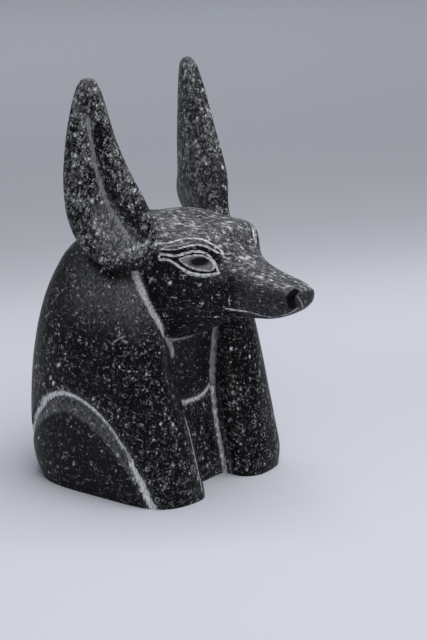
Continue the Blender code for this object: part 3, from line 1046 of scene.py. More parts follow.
@dataclass(frozen=True)
class PolishedBasalt:
    """Near-black basalt, ground and polished by hand, then bruised pale by a punch.

    Its ground is almost black with a faint cloudy mottle. Blows crush the crystals, which
    turn light grey and matt, and the chisel leaves the same pale chalk in its cuts. The
    flecks are bruised grains about half a millimetre across, the chips are whole punch
    marks up to two millimetres long and the rings are the broken rims of larger marks.
    The film's grey also carries painted light and sheen, and cuts without chalk get painted
    shade. Lengths are in millimetres. A span is the pair of limits between which a value fades.

    Attributes:
        name: the material's name.
        dark: the ground's darker tone.
        light: its lighter tone.
        bruise: the crushed crystals.
        chalk: the dust in the cuts.
        haze: the grey of the film on rubbed places, also the colour of painted light and sheen.
        ior: how strongly the crystals bend light.
        shine: how strongly the polish mirrors.
        polish: roughness of the polished ground.
        matt: roughness of the bruises.
        cloud: size of the ground's mottle.
        cloud_span: the mottle's values that change how densely the stone is pecked.
        cloud_pecks: how much less and more densely that is.
        cluster: distance between clusters of marks.
        cluster_span: the values between a gap and a cluster.
        cluster_force: how pale the marks are in a gap and in a cluster.
        grit: size of the finest grain.
        warp: size of the unevenness that makes the marks ragged, and its reach.
        flecks: the sets of ragged grains.
        fleck_edge: how far above its level the noise makes a fleck fully pale.
        chips: the sets of whole punch marks.
        chip_radius: of the smallest and the largest chip, as shares of a cell.
        rings: the sets of broken rims.
        ring_radius: of the smallest and the largest rim, as shares of a cell.
        ring_line: half width of a rim's pale core and of its edge, as shares of a cell.
        ring_gaps: the grit's values between which a rim breaks.
        dent: how pale the hammer's dents are.
        level_strokes: size along X, Y and Z of the strokes on the head.
        upright_strokes: size along X, Y and Z of the strokes elsewhere.
        film_span: the strokes' values between which the film is rubbed thin and whole.
        film_thin: how much of the film is left where it is rubbed thin.
        dust_span: where the dust beside a cut begins and is whole, in half widths.
        dust: how much film the dust makes.
        powder_ragged: how ragged the chalk's edge is, in half widths.
        powder_span: where the chalk begins and is whole, in half widths.
        powder_strokes: the strokes' values between which the chalk is thin and whole.
        powder_thin: how much of the chalk is left where it is thin.
        iris_ragged: how ragged the iris is, in its half widths.
        iris_span: where the iris begins and is whole, in its half widths.
        iris: how dark it is.
        ball_span: where the eyeball's pale ring begins and is whole.
        ball: how pale the ring is.
        pit_shade_span: where the painted shade at the bottom of a cut without chalk begins and is
            whole.
        grit_height: height of the grit as a share of a bruise's depth.
        relief: depth of a bruise.
        relief_force: how strongly that shows.
    """

    name: str = "polished_black_basalt"
    dark: str = "#050506"
    light: str = "#121214"
    bruise: str = "#e6e7ea"
    chalk: str = "#f4f4f6"
    haze: str = "#6e6f75"
    ior: float = 1.5
    shine: float = 0.08
    polish: float = 0.36
    matt: float = 0.75
    cloud: float = 9.0
    cloud_span: Span = (0.3, 0.7)
    cloud_pecks: Span = (0.45, 1.45)
    cluster: float = 3.4
    cluster_span: Span = (0.36, 0.62)
    cluster_force: Span = (0.3, 1.1)
    grit: float = 0.6
    warp: float = 1.1
    flecks: tuple[Marks, ...] = (
        Marks(0.9, (1.0, 1.0, 0.7), (0, 0, 0), 0.66, 0.50, 0.3),
        Marks(1.0, (1.0, 0.9, 0.5), (0, 8, 0), 0.63, 0.50, 0.3, "ear"),
        Marks(1.2, (0.8, 0.36, 1.1), (10, 0, 12), 0.62, 0.47, 0.75, "brushed"),
    )
    fleck_edge: float = 0.16
    chips: tuple[Marks, ...] = (
        Marks(1.4, (1.0, 0.9, 0.62), (0, 12, 0), 0.0, 0.95, 1.0, "ear", 0.9),
        Marks(2.4, (1.0, 0.9, 0.75), (0, 30, 15), 0.0, 0.85, 1.0, "ear", 1.1),
        Marks(1.9, (1.0, 1.0, 0.55), (12, 0, 0), 0.06, 0.8, 1.0),
        Marks(1.5, (1.0, 1.0, 0.5), (-50, 10, 0), 0.04, 0.6, 0.9),
        Marks(2.3, (1.0, 0.9, 0.5), (38, 20, 0), 0.02, 0.35, 1.0),
        Marks(1.1, (1.0, 1.0, 0.9), (10, 50, 70), 0.03, 0.5, 0.7),
    )
    chip_radius: Span = (0.16, 0.44)
    rings: tuple[Marks, ...] = (
        Marks(2.5, (1.0, 1.0, 0.8), (15, 0, 30), 0.0, 0.8, 0.9, "ear"),
        Marks(3.2, (1.0, 1.0, 0.9), (-20, 35, 10), 0.0, 0.25, 0.6),
    )
    ring_radius: Span = (0.2, 0.38)
    ring_line: Span = (0.03, 0.12)
    ring_gaps: Span = (0.44, 0.6)
    dent: float = 0.1
    level_strokes: tuple[float, float, float] = (1.6, 2.6, 0.5)
    upright_strokes: tuple[float, float, float] = (0.5, 0.55, 3.0)
    film_span: Span = (0.34, 0.66)
    film_thin: float = 0.12
    dust_span: Span = (3.6, 1.0)
    dust: float = 0.45
    powder_ragged: float = 1.6
    powder_span: Span = (2.05, 1.35)
    powder_strokes: Span = (0.66, 0.4)
    powder_thin: float = 0.35
    iris_ragged: float = 0.5
    iris_span: Span = (1.55, 0.95)
    iris: float = 0.97
    ball_span: Span = (3.0, 1.4)
    ball: float = 0.2
    pit_shade_span: Span = (1.3, 0.8)
    grit_height: float = 0.3
    relief: float = 0.15
    relief_force: float = 0.7

    def _cells(self, tree: Tree, place: Socket, marks: Marks) -> Socket:
        """Measures the place in cells of a set of marks.

        Args:
            tree: the material's nodes.
            place: the place on the object.
            marks: the set.

        Returns:
            The place, turned and stretched with the set.
        """
        size = [marks.cell * MM / stretch for stretch in marks.stretch]
        turn = [math.radians(angle) for angle in marks.turn]
        return put(
            tree, "ShaderNodeMapping", {"Vector": place, "Rotation": turn, "Scale": size},
            vector_type="TEXTURE",
        ).outputs[0]

    def _wanted(self, tree: Tree, density: Socket, marks: Marks) -> Socket:
        """Works out how much of a set is wanted.

        Args:
            tree: the material's nodes.
            density: how densely the stone is pecked.
            marks: the set.

        Returns:
            A value from the set's thin to its full.
        """
        if marks.where:
            there = put(tree, "ShaderNodeAttribute", attribute_name=marks.where).outputs["Fac"]
            density = put(
                tree, "ShaderNodeMath", {0: density, 1: there}, operation="MULTIPLY"
            ).outputs[0]
        return put(
            tree, "ShaderNodeMapRange",
            {"Value": density} | limits((0.0, 1.0), (marks.thin, marks.full)),
        ).outputs[0]

    def _flecks(self, tree: Tree, place: Socket, density: Socket, marks: Marks) -> Socket:
        """Makes ragged grains: a noise that shows above a level.

        Args:
            tree: the material's nodes.
            place: the place on the object.
            density: how densely the stone is pecked.
            marks: the set, whose thin and full are levels of the noise.

        Returns:
            How pale the flecks are, from 0 to the set's force.
        """
        noise = put(
            tree, "ShaderNodeTexNoise",
            {"Vector": self._cells(tree, place, marks), "Scale": 1.0, "Detail": 2.0, "Roughness": 0.6},
        )
        level = self._wanted(tree, density, marks)
        top = put(tree, "ShaderNodeMath", {0: level, 1: self.fleck_edge}, operation="ADD")
        return put(tree, "ShaderNodeMapRange", {
            "Value": noise.outputs[0], "From Min": level, "From Max": top.outputs[0],
            "To Max": marks.force,
        }).outputs[0]

    def _drawn(
        self, tree: Tree, place: Socket, density: Socket, marks: Marks
    ) -> tuple[Socket, Socket, Socket, Socket]:
        """Divides the stone into cells and draws which of them hold a mark.

        Args:
            tree: the material's nodes.
            place: the place on the object.
            density: how densely the stone is pecked.
            marks: the set, whose thin and full are shares of the cells.

        Returns:
            The distance from the cell's middle, two random numbers that are one and the
            same all over a cell, and 1 where the cell holds a mark.
        """
        mapped = self._cells(tree, place, marks)
        cells = put(tree, "ShaderNodeTexVoronoi", {"Vector": mapped, "Scale": 1.0})
        lots = put(tree, "ShaderNodeSeparateColor", {0: cells.outputs["Color"]}).outputs
        share = self._wanted(tree, density, marks)
        held = put(tree, "ShaderNodeMath", {0: share, 1: lots[0]}, operation="GREATER_THAN")
        return cells.outputs["Distance"], lots[1], lots[2], held.outputs[0]

    def _chips(self, tree: Tree, place: Socket, density: Socket, marks: Marks) -> Socket:
        """Makes single punch marks, most of them faint and a few bright.

        Args:
            tree: the material's nodes.
            place: the place on the object.
            density: how densely the stone is pecked.
            marks: the set.

        Returns:
            How pale the marks are, from 0 to the set's force.
        """
        distance, size, shade, held = self._drawn(tree, place, density, marks)
        radius = put(
            tree, "ShaderNodeMapRange", {"Value": size} | limits((0.0, 1.0), self.chip_radius)
        ).outputs[0]
        core = put(tree, "ShaderNodeMath", {0: radius, 1: 0.5}, operation="MULTIPLY")
        chip = put(tree, "ShaderNodeMapRange", {
            "Value": distance, "From Min": core.outputs[0], "From Max": radius,
            "To Min": marks.force, "To Max": 0.0,
        }).outputs[0]
        bright = put(tree, "ShaderNodeMath", {0: shade, 1: marks.rarity}, operation="POWER")
        for share in (bright.outputs[0], held):
            chip = put(tree, "ShaderNodeMath", {0: chip, 1: share}, operation="MULTIPLY").outputs[0]
        return chip

    def _rings(self, tree: Tree, place: Socket, density: Socket, marks: Marks, grit: Socket) -> Socket:
        """Makes broken rims of punch marks.

        Args:
            tree: the material's nodes.
            place: the place on the object.
            density: how densely the stone is pecked.
            marks: the set.
            grit: a fine noise that breaks the rims.

        Returns:
            How pale the rims are, from 0 to the set's force.
        """
        distance, size, _, held = self._drawn(tree, place, density, marks)
        radius = put(tree, "ShaderNodeMapRange", {"Value": size} | limits((0.0, 1.0), self.ring_radius))
        off = put(tree, "ShaderNodeMath", {0: distance, 1: radius.outputs[0]}, operation="SUBTRACT")
        off = put(tree, "ShaderNodeMath", {0: off.outputs[0]}, operation="ABSOLUTE")
        ring = put(
            tree, "ShaderNodeMapRange",
            {"Value": off.outputs[0]} | limits(self.ring_line, (marks.force, 0.0)),
        ).outputs[0]
        whole = put(tree, "ShaderNodeMapRange", {"Value": grit} | limits(self.ring_gaps))
        for share in (whole.outputs[0], held):
            ring = put(tree, "ShaderNodeMath", {0: ring, 1: share}, operation="MULTIPLY").outputs[0]
        return ring

    def _ragged(self, tree: Tree, place: Socket) -> Socket:
        """Shifts the place a little here and there, so that marks come out ragged.

        Args:
            tree: the material's nodes.
            place: the place on the object.

        Returns:
            The shifted place.
        """
        noise = put(
            tree, "ShaderNodeTexNoise",
            {"Vector": place, "Scale": 1 / (self.warp * MM), "Detail": 1.0},
        )
        shift = put(
            tree, "ShaderNodeVectorMath", {0: noise.outputs["Color"], 1: (0.5, 0.5, 0.5)},
            operation="SUBTRACT",
        )
        return put(
            tree, "ShaderNodeVectorMath", {0: shift.outputs[0], 1: (self.warp * MM,) * 3, 2: place},
            operation="MULTIPLY_ADD",
        ).outputs[0]

    def _bruises(self, tree: Tree, place: Socket, patch: Socket, grit: Socket) -> Socket:
        """Lays all sets of marks over one another and gathers them in clusters.

        Args:
            tree: the material's nodes.
            place: the place on the object.
            patch: the ground's mottle.
            grit: the finest grain.

        Returns:
            How bruised the stone is, from 0 to about 1.
        """
        worked, struck = (
            put(tree, "ShaderNodeAttribute", attribute_name=name).outputs["Fac"]
            for name in ("pecking", "peck")
        )
        uneven = put(
            tree, "ShaderNodeMapRange",
            {"Value": patch} | limits(self.cloud_span, self.cloud_pecks),
        )
        density = put(
            tree, "ShaderNodeMath", {0: worked, 1: uneven.outputs[0]}, operation="MULTIPLY"
        ).outputs[0]
        ragged = self._ragged(tree, place)
        marks = [self._flecks(tree, place, density, one) for one in self.flecks]
        marks += [self._chips(tree, ragged, density, one) for one in self.chips]
        marks += [self._rings(tree, ragged, density, one, grit) for one in self.rings]
        bruised = put(
            tree, "ShaderNodeMath", {0: struck, 1: self.dent}, operation="MULTIPLY"
        ).outputs[0]
        for mark in marks:
            bruised = put(tree, "ShaderNodeMath", {0: bruised, 1: mark}, operation="MAXIMUM").outputs[0]
        lumps = put(
            tree, "ShaderNodeTexNoise",
            {"Vector": place, "Scale": 1 / (self.cluster * MM), "Detail": 2.0},
        )
        grouped = put(
            tree, "ShaderNodeMapRange",
            {"Value": lumps.outputs["Fac"]} | limits(self.cluster_span, self.cluster_force),
        )
        return put(
            tree, "ShaderNodeMath", {0: bruised, 1: grouped.outputs[0]}, operation="MULTIPLY"
        ).outputs[0]

    def _strokes(self, tree: Tree, place: Socket, face: Socket) -> Socket:
        """Makes the unevenness of rubbing and chiselling, level on the head, else upright.

        Args:
            tree: the material's nodes.
            place: the place on the object.
            face: 1 on the head.

        Returns:
            A noise of long strokes.
        """
        upright, level = (
            put(tree, "ShaderNodeTexNoise", {
                "Vector": put(
                    tree, "ShaderNodeMapping",
                    {"Vector": place, "Scale": [1 / (size * MM) for size in sizes]},
                ).outputs[0],
                "Scale": 1.0, "Detail": 2.0,
            }).outputs["Fac"]
            for sizes in (self.upright_strokes, self.level_strokes)
        )
        return put(tree, "ShaderNodeMix", {0: face, 2: upright, 3: level}).outputs[0]

    def _powder(self, tree: Tree, cut: Socket, chalky: Socket, strokes: Socket) -> Socket:
        """Lays chalk in the cuts, streaky along them, with a ragged edge.

        Args:
            tree: the material's nodes.
            cut: distance from the nearest cut in half widths of its chalk.
            chalky: how pale that cut is.
            strokes: a noise stretched along the cuts.

        Returns:
            How much chalk lies there, from 0 to 1.
        """
        ragged = put(
            tree, "ShaderNodeMath", {0: strokes, 1: self.powder_ragged, 2: cut},
            operation="MULTIPLY_ADD",
        )
        powder = put(
            tree, "ShaderNodeMapRange", {"Value": ragged.outputs[0]} | limits(self.powder_span)
        ).outputs[0]
        thin = put(
            tree, "ShaderNodeMapRange",
            {"Value": strokes} | limits(self.powder_strokes, (self.powder_thin, 1.0)),
        )
        for share in (thin.outputs[0], chalky):
            powder = put(tree, "ShaderNodeMath", {0: powder, 1: share}, operation="MULTIPLY").outputs[0]
        return powder

    def _film_and_light(self, tree: Tree, cut: Socket, chalky: Socket, face: Socket, strokes: Socket) -> Socket:
        """Lays the grey film of rubbed places and of the dust beside the cuts, with the painted light
        and sheen that share its grey.

        Args:
            tree: the material's nodes.
            cut: distance from the nearest cut in half widths of its chalk.
            chalky: how pale that cut is.
            face: 1 on the head, where no dust lies.
            strokes: a noise of long strokes, along which the film is rubbed thin.

        Returns:
            How much film and painted light lies there, from 0 to 1.
        """
        # the haze value also carries painted light and sheen
        hazy_and_lit = put(tree, "ShaderNodeAttribute", attribute_name="haze").outputs["Fac"]
        rubbed = put(
            tree, "ShaderNodeMapRange",
            {"Value": strokes} | limits(self.film_span, (self.film_thin, 1.0)),
        )
        dust = put(
            tree, "ShaderNodeMapRange", {"Value": cut} | limits(self.dust_span, (0.0, self.dust)),
        ).outputs[0]
        bare = put(tree, "ShaderNodeMath", {0: 1.0, 1: face}, operation="SUBTRACT")
        for share in (chalky, bare.outputs[0]):
            dust = put(tree, "ShaderNodeMath", {0: dust, 1: share}, operation="MULTIPLY").outputs[0]
        film = put(tree, "ShaderNodeMath", {0: hazy_and_lit, 1: dust}, operation="MAXIMUM")
        return put(
            tree, "ShaderNodeMath", {0: film.outputs[0], 1: rubbed.outputs[0]},
            operation="MULTIPLY",
        ).outputs[0]

    def _eye(self, tree: Tree, grit: Socket) -> tuple[Socket, Socket]:
        """Darkens the iris and lightens the eyeball round it.

        Args:
            tree: the material's nodes.
            grit: the finest grain, which makes the iris ragged.

        Returns:
            How dark the iris is, and how pale the ring round it.
        """
        away = put(tree, "ShaderNodeAttribute", attribute_name="iris").outputs["Fac"]
        ragged = put(
            tree, "ShaderNodeMath", {0: grit, 1: self.iris_ragged, 2: away},
            operation="MULTIPLY_ADD",
        ).outputs[0]
        iris, ball = (
            put(tree, "ShaderNodeMapRange", {"Value": ragged} | limits(span, (0.0, most))).outputs[0]
            for span, most in ((self.iris_span, self.iris), (self.ball_span, self.ball))
        )
        return iris, ball

    def _pit_shade(self, tree: Tree, cut: Socket, chalky: Socket) -> Socket:
        """Paints shade at the bottom of cuts that hold no chalk.

        Args:
            tree: the material's nodes.
            cut: distance from the nearest cut in half widths of its chalk.
            chalky: how pale that cut is.

        Returns:
            How much painted shade lies there, from 0 to 1.
        """
        pit = put(tree, "ShaderNodeMapRange", {"Value": cut} | limits(self.pit_shade_span))
        clean = put(tree, "ShaderNodeMath", {0: 1.0, 1: chalky}, operation="SUBTRACT")
        return put(
            tree, "ShaderNodeMath", {0: pit.outputs[0], 1: clean.outputs[0]}, operation="MULTIPLY",
        ).outputs[0]

    def _relief(self, tree: Tree, bruised: Socket, grit: Socket) -> Socket:
        """Sinks the bruises and roughens the grit for the eye only.

        Args:
            tree: the material's nodes.
            bruised: how bruised the stone is.
            grit: the finest grain.

        Returns:
            The direction the surface seems to face.
        """
        sunk = put(tree, "ShaderNodeMath", {0: bruised, 1: -1.0}, operation="MULTIPLY")
        height = put(
            tree, "ShaderNodeMath", {0: grit, 1: self.grit_height, 2: sunk.outputs[0]},
            operation="MULTIPLY_ADD",
        )
        return put(
            tree, "ShaderNodeBump",
            {"Height": height.outputs[0], "Distance": self.relief * MM, "Strength": self.relief_force},
        ).outputs[0]

    def build(self) -> bpy.types.Material:
        """Makes the stone's material.

        Returns:
            The material, which reads the values that the mesh keeps for it.
        """
        material = bpy.data.materials.new(self.name)
        material.use_nodes = True
        tree = material.node_tree
        shader = tree.nodes["Principled BSDF"]
        shader.inputs["IOR"].default_value = self.ior
        shader.inputs["Specular IOR Level"].default_value = self.shine
        place = put(tree, "ShaderNodeTexCoord").outputs["Object"]
        cut, chalky, face = (
            put(tree, "ShaderNodeAttribute", attribute_name=name).outputs["Fac"]
            for name in ("cut", "chalk", "head")
        )
        patch, grit = (
            put(
                tree, "ShaderNodeTexNoise",
                {"Vector": place, "Scale": 1 / (size * MM), "Detail": detail},
            ).outputs["Fac"]
            for size, detail in ((self.cloud, 3.0), (self.grit, 2.0))
        )
        bruised = self._bruises(tree, place, patch, grit)
        strokes = self._strokes(tree, place, face)
        powder = self._powder(tree, cut, chalky, strokes)
        iris, ball = self._eye(tree, grit)
        # hollow: the dark iris, and painted shade at the bottom of cuts without chalk
        hollow = put(
            tree, "ShaderNodeMath", {0: iris, 1: self._pit_shade(tree, cut, chalky)},
            operation="MAXIMUM",
        ).outputs[0]
        colour = linear(self.dark)
        # the film's grey also carries painted light and sheen
        for share, tone in (
            (patch, self.light), (self._film_and_light(tree, cut, chalky, face, strokes), self.haze),
            (bruised, self.bruise), (ball, self.chalk), (hollow, self.dark), (powder, self.chalk),
        ):
            colour = put(
                tree, "ShaderNodeMix", {0: share, 6: colour, 7: linear(tone)}, data_type="RGBA"
            ).outputs[2]
        tree.links.new(colour, shader.inputs["Base Color"])
        pale = put(tree, "ShaderNodeMath", {0: bruised, 1: powder}, operation="MAXIMUM")
        rough = put(
            tree, "ShaderNodeMapRange",
            {"Value": pale.outputs[0]} | limits((0.0, 1.0), (self.polish, self.matt)),
        )
        tree.links.new(rough.outputs[0], shader.inputs["Roughness"])
        tree.links.new(self._relief(tree, bruised, grit), shader.inputs["Normal"])
        return material


# The studio's light and shade on the backdrop, painted into its colour along the studio's axis: place
# in metres and colour.
PAPER_PAINTED_LIGHT = (
    (-0.40, "#dadde5"),
    (-0.10, "#e4e7f0"),
    (0.074, "#d5d8e0"),
    (0.20, "#e1e4ed"),
    (0.29, "#d6d9e1"),
    (0.353, "#c5c8cf"),
    (0.43, "#b9bcc3"),
    (0.59, "#b1b4bb"),
    (0.88, "#c7cad2"),
    (1.24, "#e7ebf3"),
)


@dataclass(frozen=True)
class StudioPaper:
    """Matt pale backdrop paper whose colour, changing softly from front to back, is painted light and
    shade.

    Attributes:
        name: the material's name.
        axis: the level direction along which the painted light changes.
        tones: places along the axis in metres, and the paper's colours with their painted light there.
        roughness: of its matt face.
        shine: how strongly it mirrors.
    """

    name: str = "backdrop_paper"
    axis: tuple[float, float, float] = (0.56, 0.83, 0.0)
    tones: Sequence[tuple[float, str]] = PAPER_PAINTED_LIGHT
    roughness: float = 0.9
    shine: float = 0.1

    def build(self) -> bpy.types.Material:
        """Makes the paper's material.

        Returns:
            The material.
        """
        material = bpy.data.materials.new(self.name)
        material.use_nodes = True
        tree = material.node_tree
        shader = tree.nodes["Principled BSDF"]
        shader.inputs["Roughness"].default_value = self.roughness
        shader.inputs["Specular IOR Level"].default_value = self.shine
        place = put(tree, "ShaderNodeTexCoord").outputs["Object"]
        along = put(tree, "ShaderNodeVectorMath", {0: place, 1: self.axis}, operation="DOT_PRODUCT")
        first, last = self.tones[0][0], self.tones[-1][0]
        share = put(
            tree, "ShaderNodeMapRange", {"Value": along.outputs["Value"]} | limits((first, last)),
        )
        shade = put(tree, "ShaderNodeValToRGB", {0: share.outputs[0]})
        stops = shade.color_ramp
        stops.interpolation = "B_SPLINE"
        for stop, (at, tone) in zip(stops.elements, (self.tones[0], self.tones[-1])):
            stop.position, stop.color = (at - first) / (last - first), linear(tone)
        for at, tone in self.tones[1:-1]:
            stops.elements.new((at - first) / (last - first)).color = linear(tone)
        tree.links.new(shade.outputs[0], shader.inputs["Base Color"])
        return material


# The edge between wig and shoulder: angle round an upright axis through the wig's middle,
# from the side (0) to the back (90), and height as a share of the shoulder's height.
SHOULDER_LINE = (
    (-39.0, -0.06), (-33.3, 0.22), (-25.3, 0.47), (-15.6, 0.70), (-5.0, 0.865), (5.4, 0.96),
    (18.1, 1.00), (30.6, 0.92), (41.8, 0.72), (51.0, 0.44), (58.0, 0.16), (62.0, -0.06),
)

# Lines of the eye as seen from the side: place from the outer end (0) to the inner corner
# (1) of the eye and height above the eye's level, as shares of its length and height.
BROW_TOP = (
    (-0.17, 0.67), (0.11, 0.79), (0.28, 0.93), (0.48, 1.03), (0.67, 0.99), (0.79, 0.83),
    (0.90, 0.59), (0.97, 0.38),
)
BROW_LOW = (
    (0.00, 0.51), (0.35, 0.62), (0.48, 0.74), (0.66, 0.80), (0.80, 0.67), (0.91, 0.44),
    (0.97, 0.36),
)
UPPER_LID = (
    (0.00, 0.31), (0.18, 0.32), (0.40, 0.37), (0.53, 0.48), (0.68, 0.55), (0.80, 0.43),
    (0.88, 0.18), (0.93, -0.03), (0.99, -0.40),
)
LOWER_LID = (
    (0.00, 0.07), (0.20, 0.12), (0.37, 0.00), (0.52, -0.20), (0.63, -0.37), (0.75, -0.47),
    (0.88, -0.48), (0.99, -0.42),
)
LOWER_SHADE = ((0.52, -0.28), (0.63, -0.46), (0.75, -0.56), (0.87, -0.57), (0.96, -0.50))
BROW_MIDDLE = ((0.02, 0.58), (0.20, 0.69), (0.38, 0.78), (0.50, 0.87))
OUTER_BAR = ((0.00, 0.31), (-0.02, 0.19), (0.00, 0.07))
EYEBALL = (
    (0.44, 0.22), (0.57, 0.35), (0.68, 0.39), (0.79, 0.32), (0.87, 0.14),
    (0.92, -0.08), (0.90, -0.29), (0.76, -0.27), (0.63, -0.13), (0.52, 0.06), (0.44, 0.22),
)
IRIS = (0.736, 0.105)
IRIS_SIZE = (0.140, 0.225)

# The line of the mouth and the tick at its corner: place from back (0) to nose (1) of the
# head and height above the mouth's level in shares of the eye's height.
MOUTH_LINE = (
    (0.665, 0.01), (0.723, -0.01), (0.777, -0.03), (0.822, -0.11), (0.874, -0.13),
    (0.913, 0.0), (0.951, 0.19), (0.981, 0.41),
)
MOUTH_TICK = ((0.691, 0.63), (0.686, 0.42), (0.687, 0.25))

# Places across, along and up, as shares of half the head's width, the snout and its top.
FACE_LINE = (
    (1.063, 0.080, 0.822), (1.084, 0.125, 0.762), (1.063, 0.169, 0.711), (1.011, 0.212, 0.658),
    (0.905, 0.240, 0.600),
)
FACE_LINE_TOP = ((1.07, 0.060, 0.820), (1.09, 0.108, 0.765), (1.06, 0.155, 0.715))
JAW_LINE = ((0.842, 0.187, 0.580), (0.421, 0.133, 0.543), (0.0, 0.127, 0.535))
NOSTRIL = (
    (0.19, 0.962, 0.797), (0.235, 0.955, 0.787), (0.26, 0.951, 0.775), (0.265, 0.953, 0.762),
    (0.25, 0.958, 0.749),
)
LIP_SCRATCH = ((0.20, 0.985, 0.781), (0.13, 0.985, 0.757), (0.06, 0.981, 0.734))
NECK_TAIL = ((0.52, 0.121, 0.560), (0.456, 0.121, 0.544), (0.407, 0.129, 0.516), (0.365, 0.131, 0.484))
BROW_DASH = ((0.42, 0.516, 0.900), (0.32, 0.531, 0.900), (0.25, 0.547, 0.897))

# The pale ridge along the ear's outer face, the pecked spoon at its foot and the polished
# gutter in front of the ridge: shares of the ear's width along Y and of its height above
# the foot.
EAR_VALLEY = ((0.36, 0.79), (0.31, 0.62), (0.255, 0.493), (0.19, 0.388), (0.075, 0.27), (-0.08, 0.175))
EAR_SPOON = ((0.16, 0.31), (0.07, 0.22), (-0.04, 0.155), (-0.14, 0.13))
EAR_GUTTER = ((0.22, 0.72), (0.17, 0.58), (0.10, 0.44), (0.0, 0.34), (-0.14, 0.26))

# A stray scratch on the figure's right flank: shares of the lappets' reach and wig's top.
FLANK_SCRATCH = ((-0.107, 0.599), (-0.180, 0.619), (-0.256, 0.633))


# Every family of cuts in the order in which they are cut: width and depth in millimetres,
# chalk from 0 to 1 and the chalk's width as a share of the cut's. The bottom of a cut gets
# painted shade where it lacks chalk, wholly in the nostrils.
CutSize = tuple[float, float, float, float]
CUT_SIZES: dict[str, CutSize] = {
    "shoulder_arches": (3.6, 0.3, 1.0, 0.68), "upper_corners": (3.2, 0.95, 0.45, 0.85),
    # the pale line along the near lappet's rim is a painted highlight, cut only 0.1 mm deep
    "lower_corners": (2.2, 0.95, 1.0, 0.85), "lappet_edge": (1.2, 0.1, 0.8, 0.8),
    "collar_line": (2.8, 0.95, 1.0, 0.8), "face_edges": (3.0, 0.95, 0.75, 0.95),
    "neck_tails": (2.8, 0.1, 0.6, 0.9), "ear_ridges": (2.4, 0.05, 0.35, 0.85),
    "jaw_creases": (2.0, 0.5, 0.45, 0.8), "eye_lines": (1.5, 0.6, 1.0, 0.66),
    "eyeball_rims": (1.1, 0.45, 0.85, 0.66), "mouth_lines": (1.5, 0.6, 0.9, 0.6),
    "nostrils": (4.4, 0.75, 0.0, 0.8), "scratches": (0.9, 0.2, 0.4, 0.8),
}


@dataclass(frozen=True)
class WigWear:
    """How wig, shoulders and chest are worked.

    A value is from 0 to 1: pecks say how densely a place is pecked, bare and away how much
    less densely, and haze how hazy it is. A span holds the limits in millimetres between
    which an area fades in. Rubbed has one along X, Y and Z, foot one along Y and Z, back
    one along Y. The shoulder's is below its arch, the roll's in front of the channel's
    floor, and the bevel is the slope below the arch. The rubbed place's haze is partly a
    painted sheen.
    """

    pecks: float = 0.4
    back: Span = (12.0, 42.0)
    back_pecks: float = 0.22
    back_haze: float = 0.06
    foot: tuple[Span, Span] = ((0.0, -20.0), (50.0, 15.0))
    foot_pecks: float = 0.2
    rubbed: tuple[Span, Span, Span] = ((14.0, 28.0), (34.0, 12.0), (68.0, 92.0))
    rubbed_away: float = 0.55
    # the rubbed flank's film is partly a painted sheen
    rubbed_haze_and_sheen: float = 0.8
    shoulder: Span = (0.0, 2.0)
    shoulder_bare: float = 0.5
    shoulder_haze: float = 0.05
    bevel_pecks: float = 1.2
    bevel_haze: float = 0.7
    neck_pecks: float = 0.18
    chest_pecks: float = 0.54
    chest_haze: float = 0.03
    chest_reach: float = 3.5
    roll: Span = (6.0, 3.0)
    roll_start: float = -0.5
    roll_width: Span = (-1.5, 3.5)
    roll_haze: float = 0.8


@dataclass(frozen=True)
class HeadWear:
    """How the head is worked, with values and spans like the wig's.

    Top is a span of how far a place looks up. Crown, snout and nose are spans along Y, and
    the corner's is round the eye's inner corner. Pecks alone are those of the sides, and the
    other values are added to what is below them. The haze of the top, crown and nose lies
    only on places that look up and is partly painted light from above.
    """

    top: Span = (0.15, 0.7)
    crown: Span = (-48.0, -30.0)
    snout: Span = (-42.0, -50.0)
    nose: Span = (-65.0, -70.0)
    pecks: float = 0.27
    top_pecks: float = 0.5
    snout_bare: float = 0.35
    # haze on places that look up: partly haze, partly painted light from above
    top_haze_and_light: float = 0.42
    crown_haze_and_light: float = 0.35
    snout_haze: float = 0.32
    nose_haze_and_light: float = 0.4
    corner: Span = (6.0, 2.0)
    corner_haze: float = 0.5
    ball_haze: float = 0.8


@dataclass(frozen=True)
class EarWear:
    """How an ear is worked, with values and spans like the wig's.

    Ridge, spoon and gutter are spans round lines of the outer face, front is one along Y.
    Front_rise, tip and root are spans of the rise, which is 0 at the ear's foot and 1 at its
    tip. Root and front are parts of the inner face. The inner face's haze, most of all at its
    root, is partly painted light.
    """

    ridge: Span = (2.2, 0.6)
    spoon: Span = (7.5, 1.5)
    gutter: Span = (5.0, 1.5)
    front: Span = (4.0, -8.0)
    front_rise: Span = (0.75, 0.5)
    tip: Span = (0.9, 1.0)
    root: Span = (0.42, 0.16)
    pecks: float = 0.8
    gutter_bare: float = 0.5
    inner_pecks: float = 1.0
    front_bare: float = 0.4
    ridge_haze: float = 0.3
    spoon_haze: float = 0.7
    # the inner face's haze is partly painted light, strongest at its root
    inner_haze_and_light: float = 0.2
    root_haze_and_light: float = 0.8
    tip_haze: float = 0.6


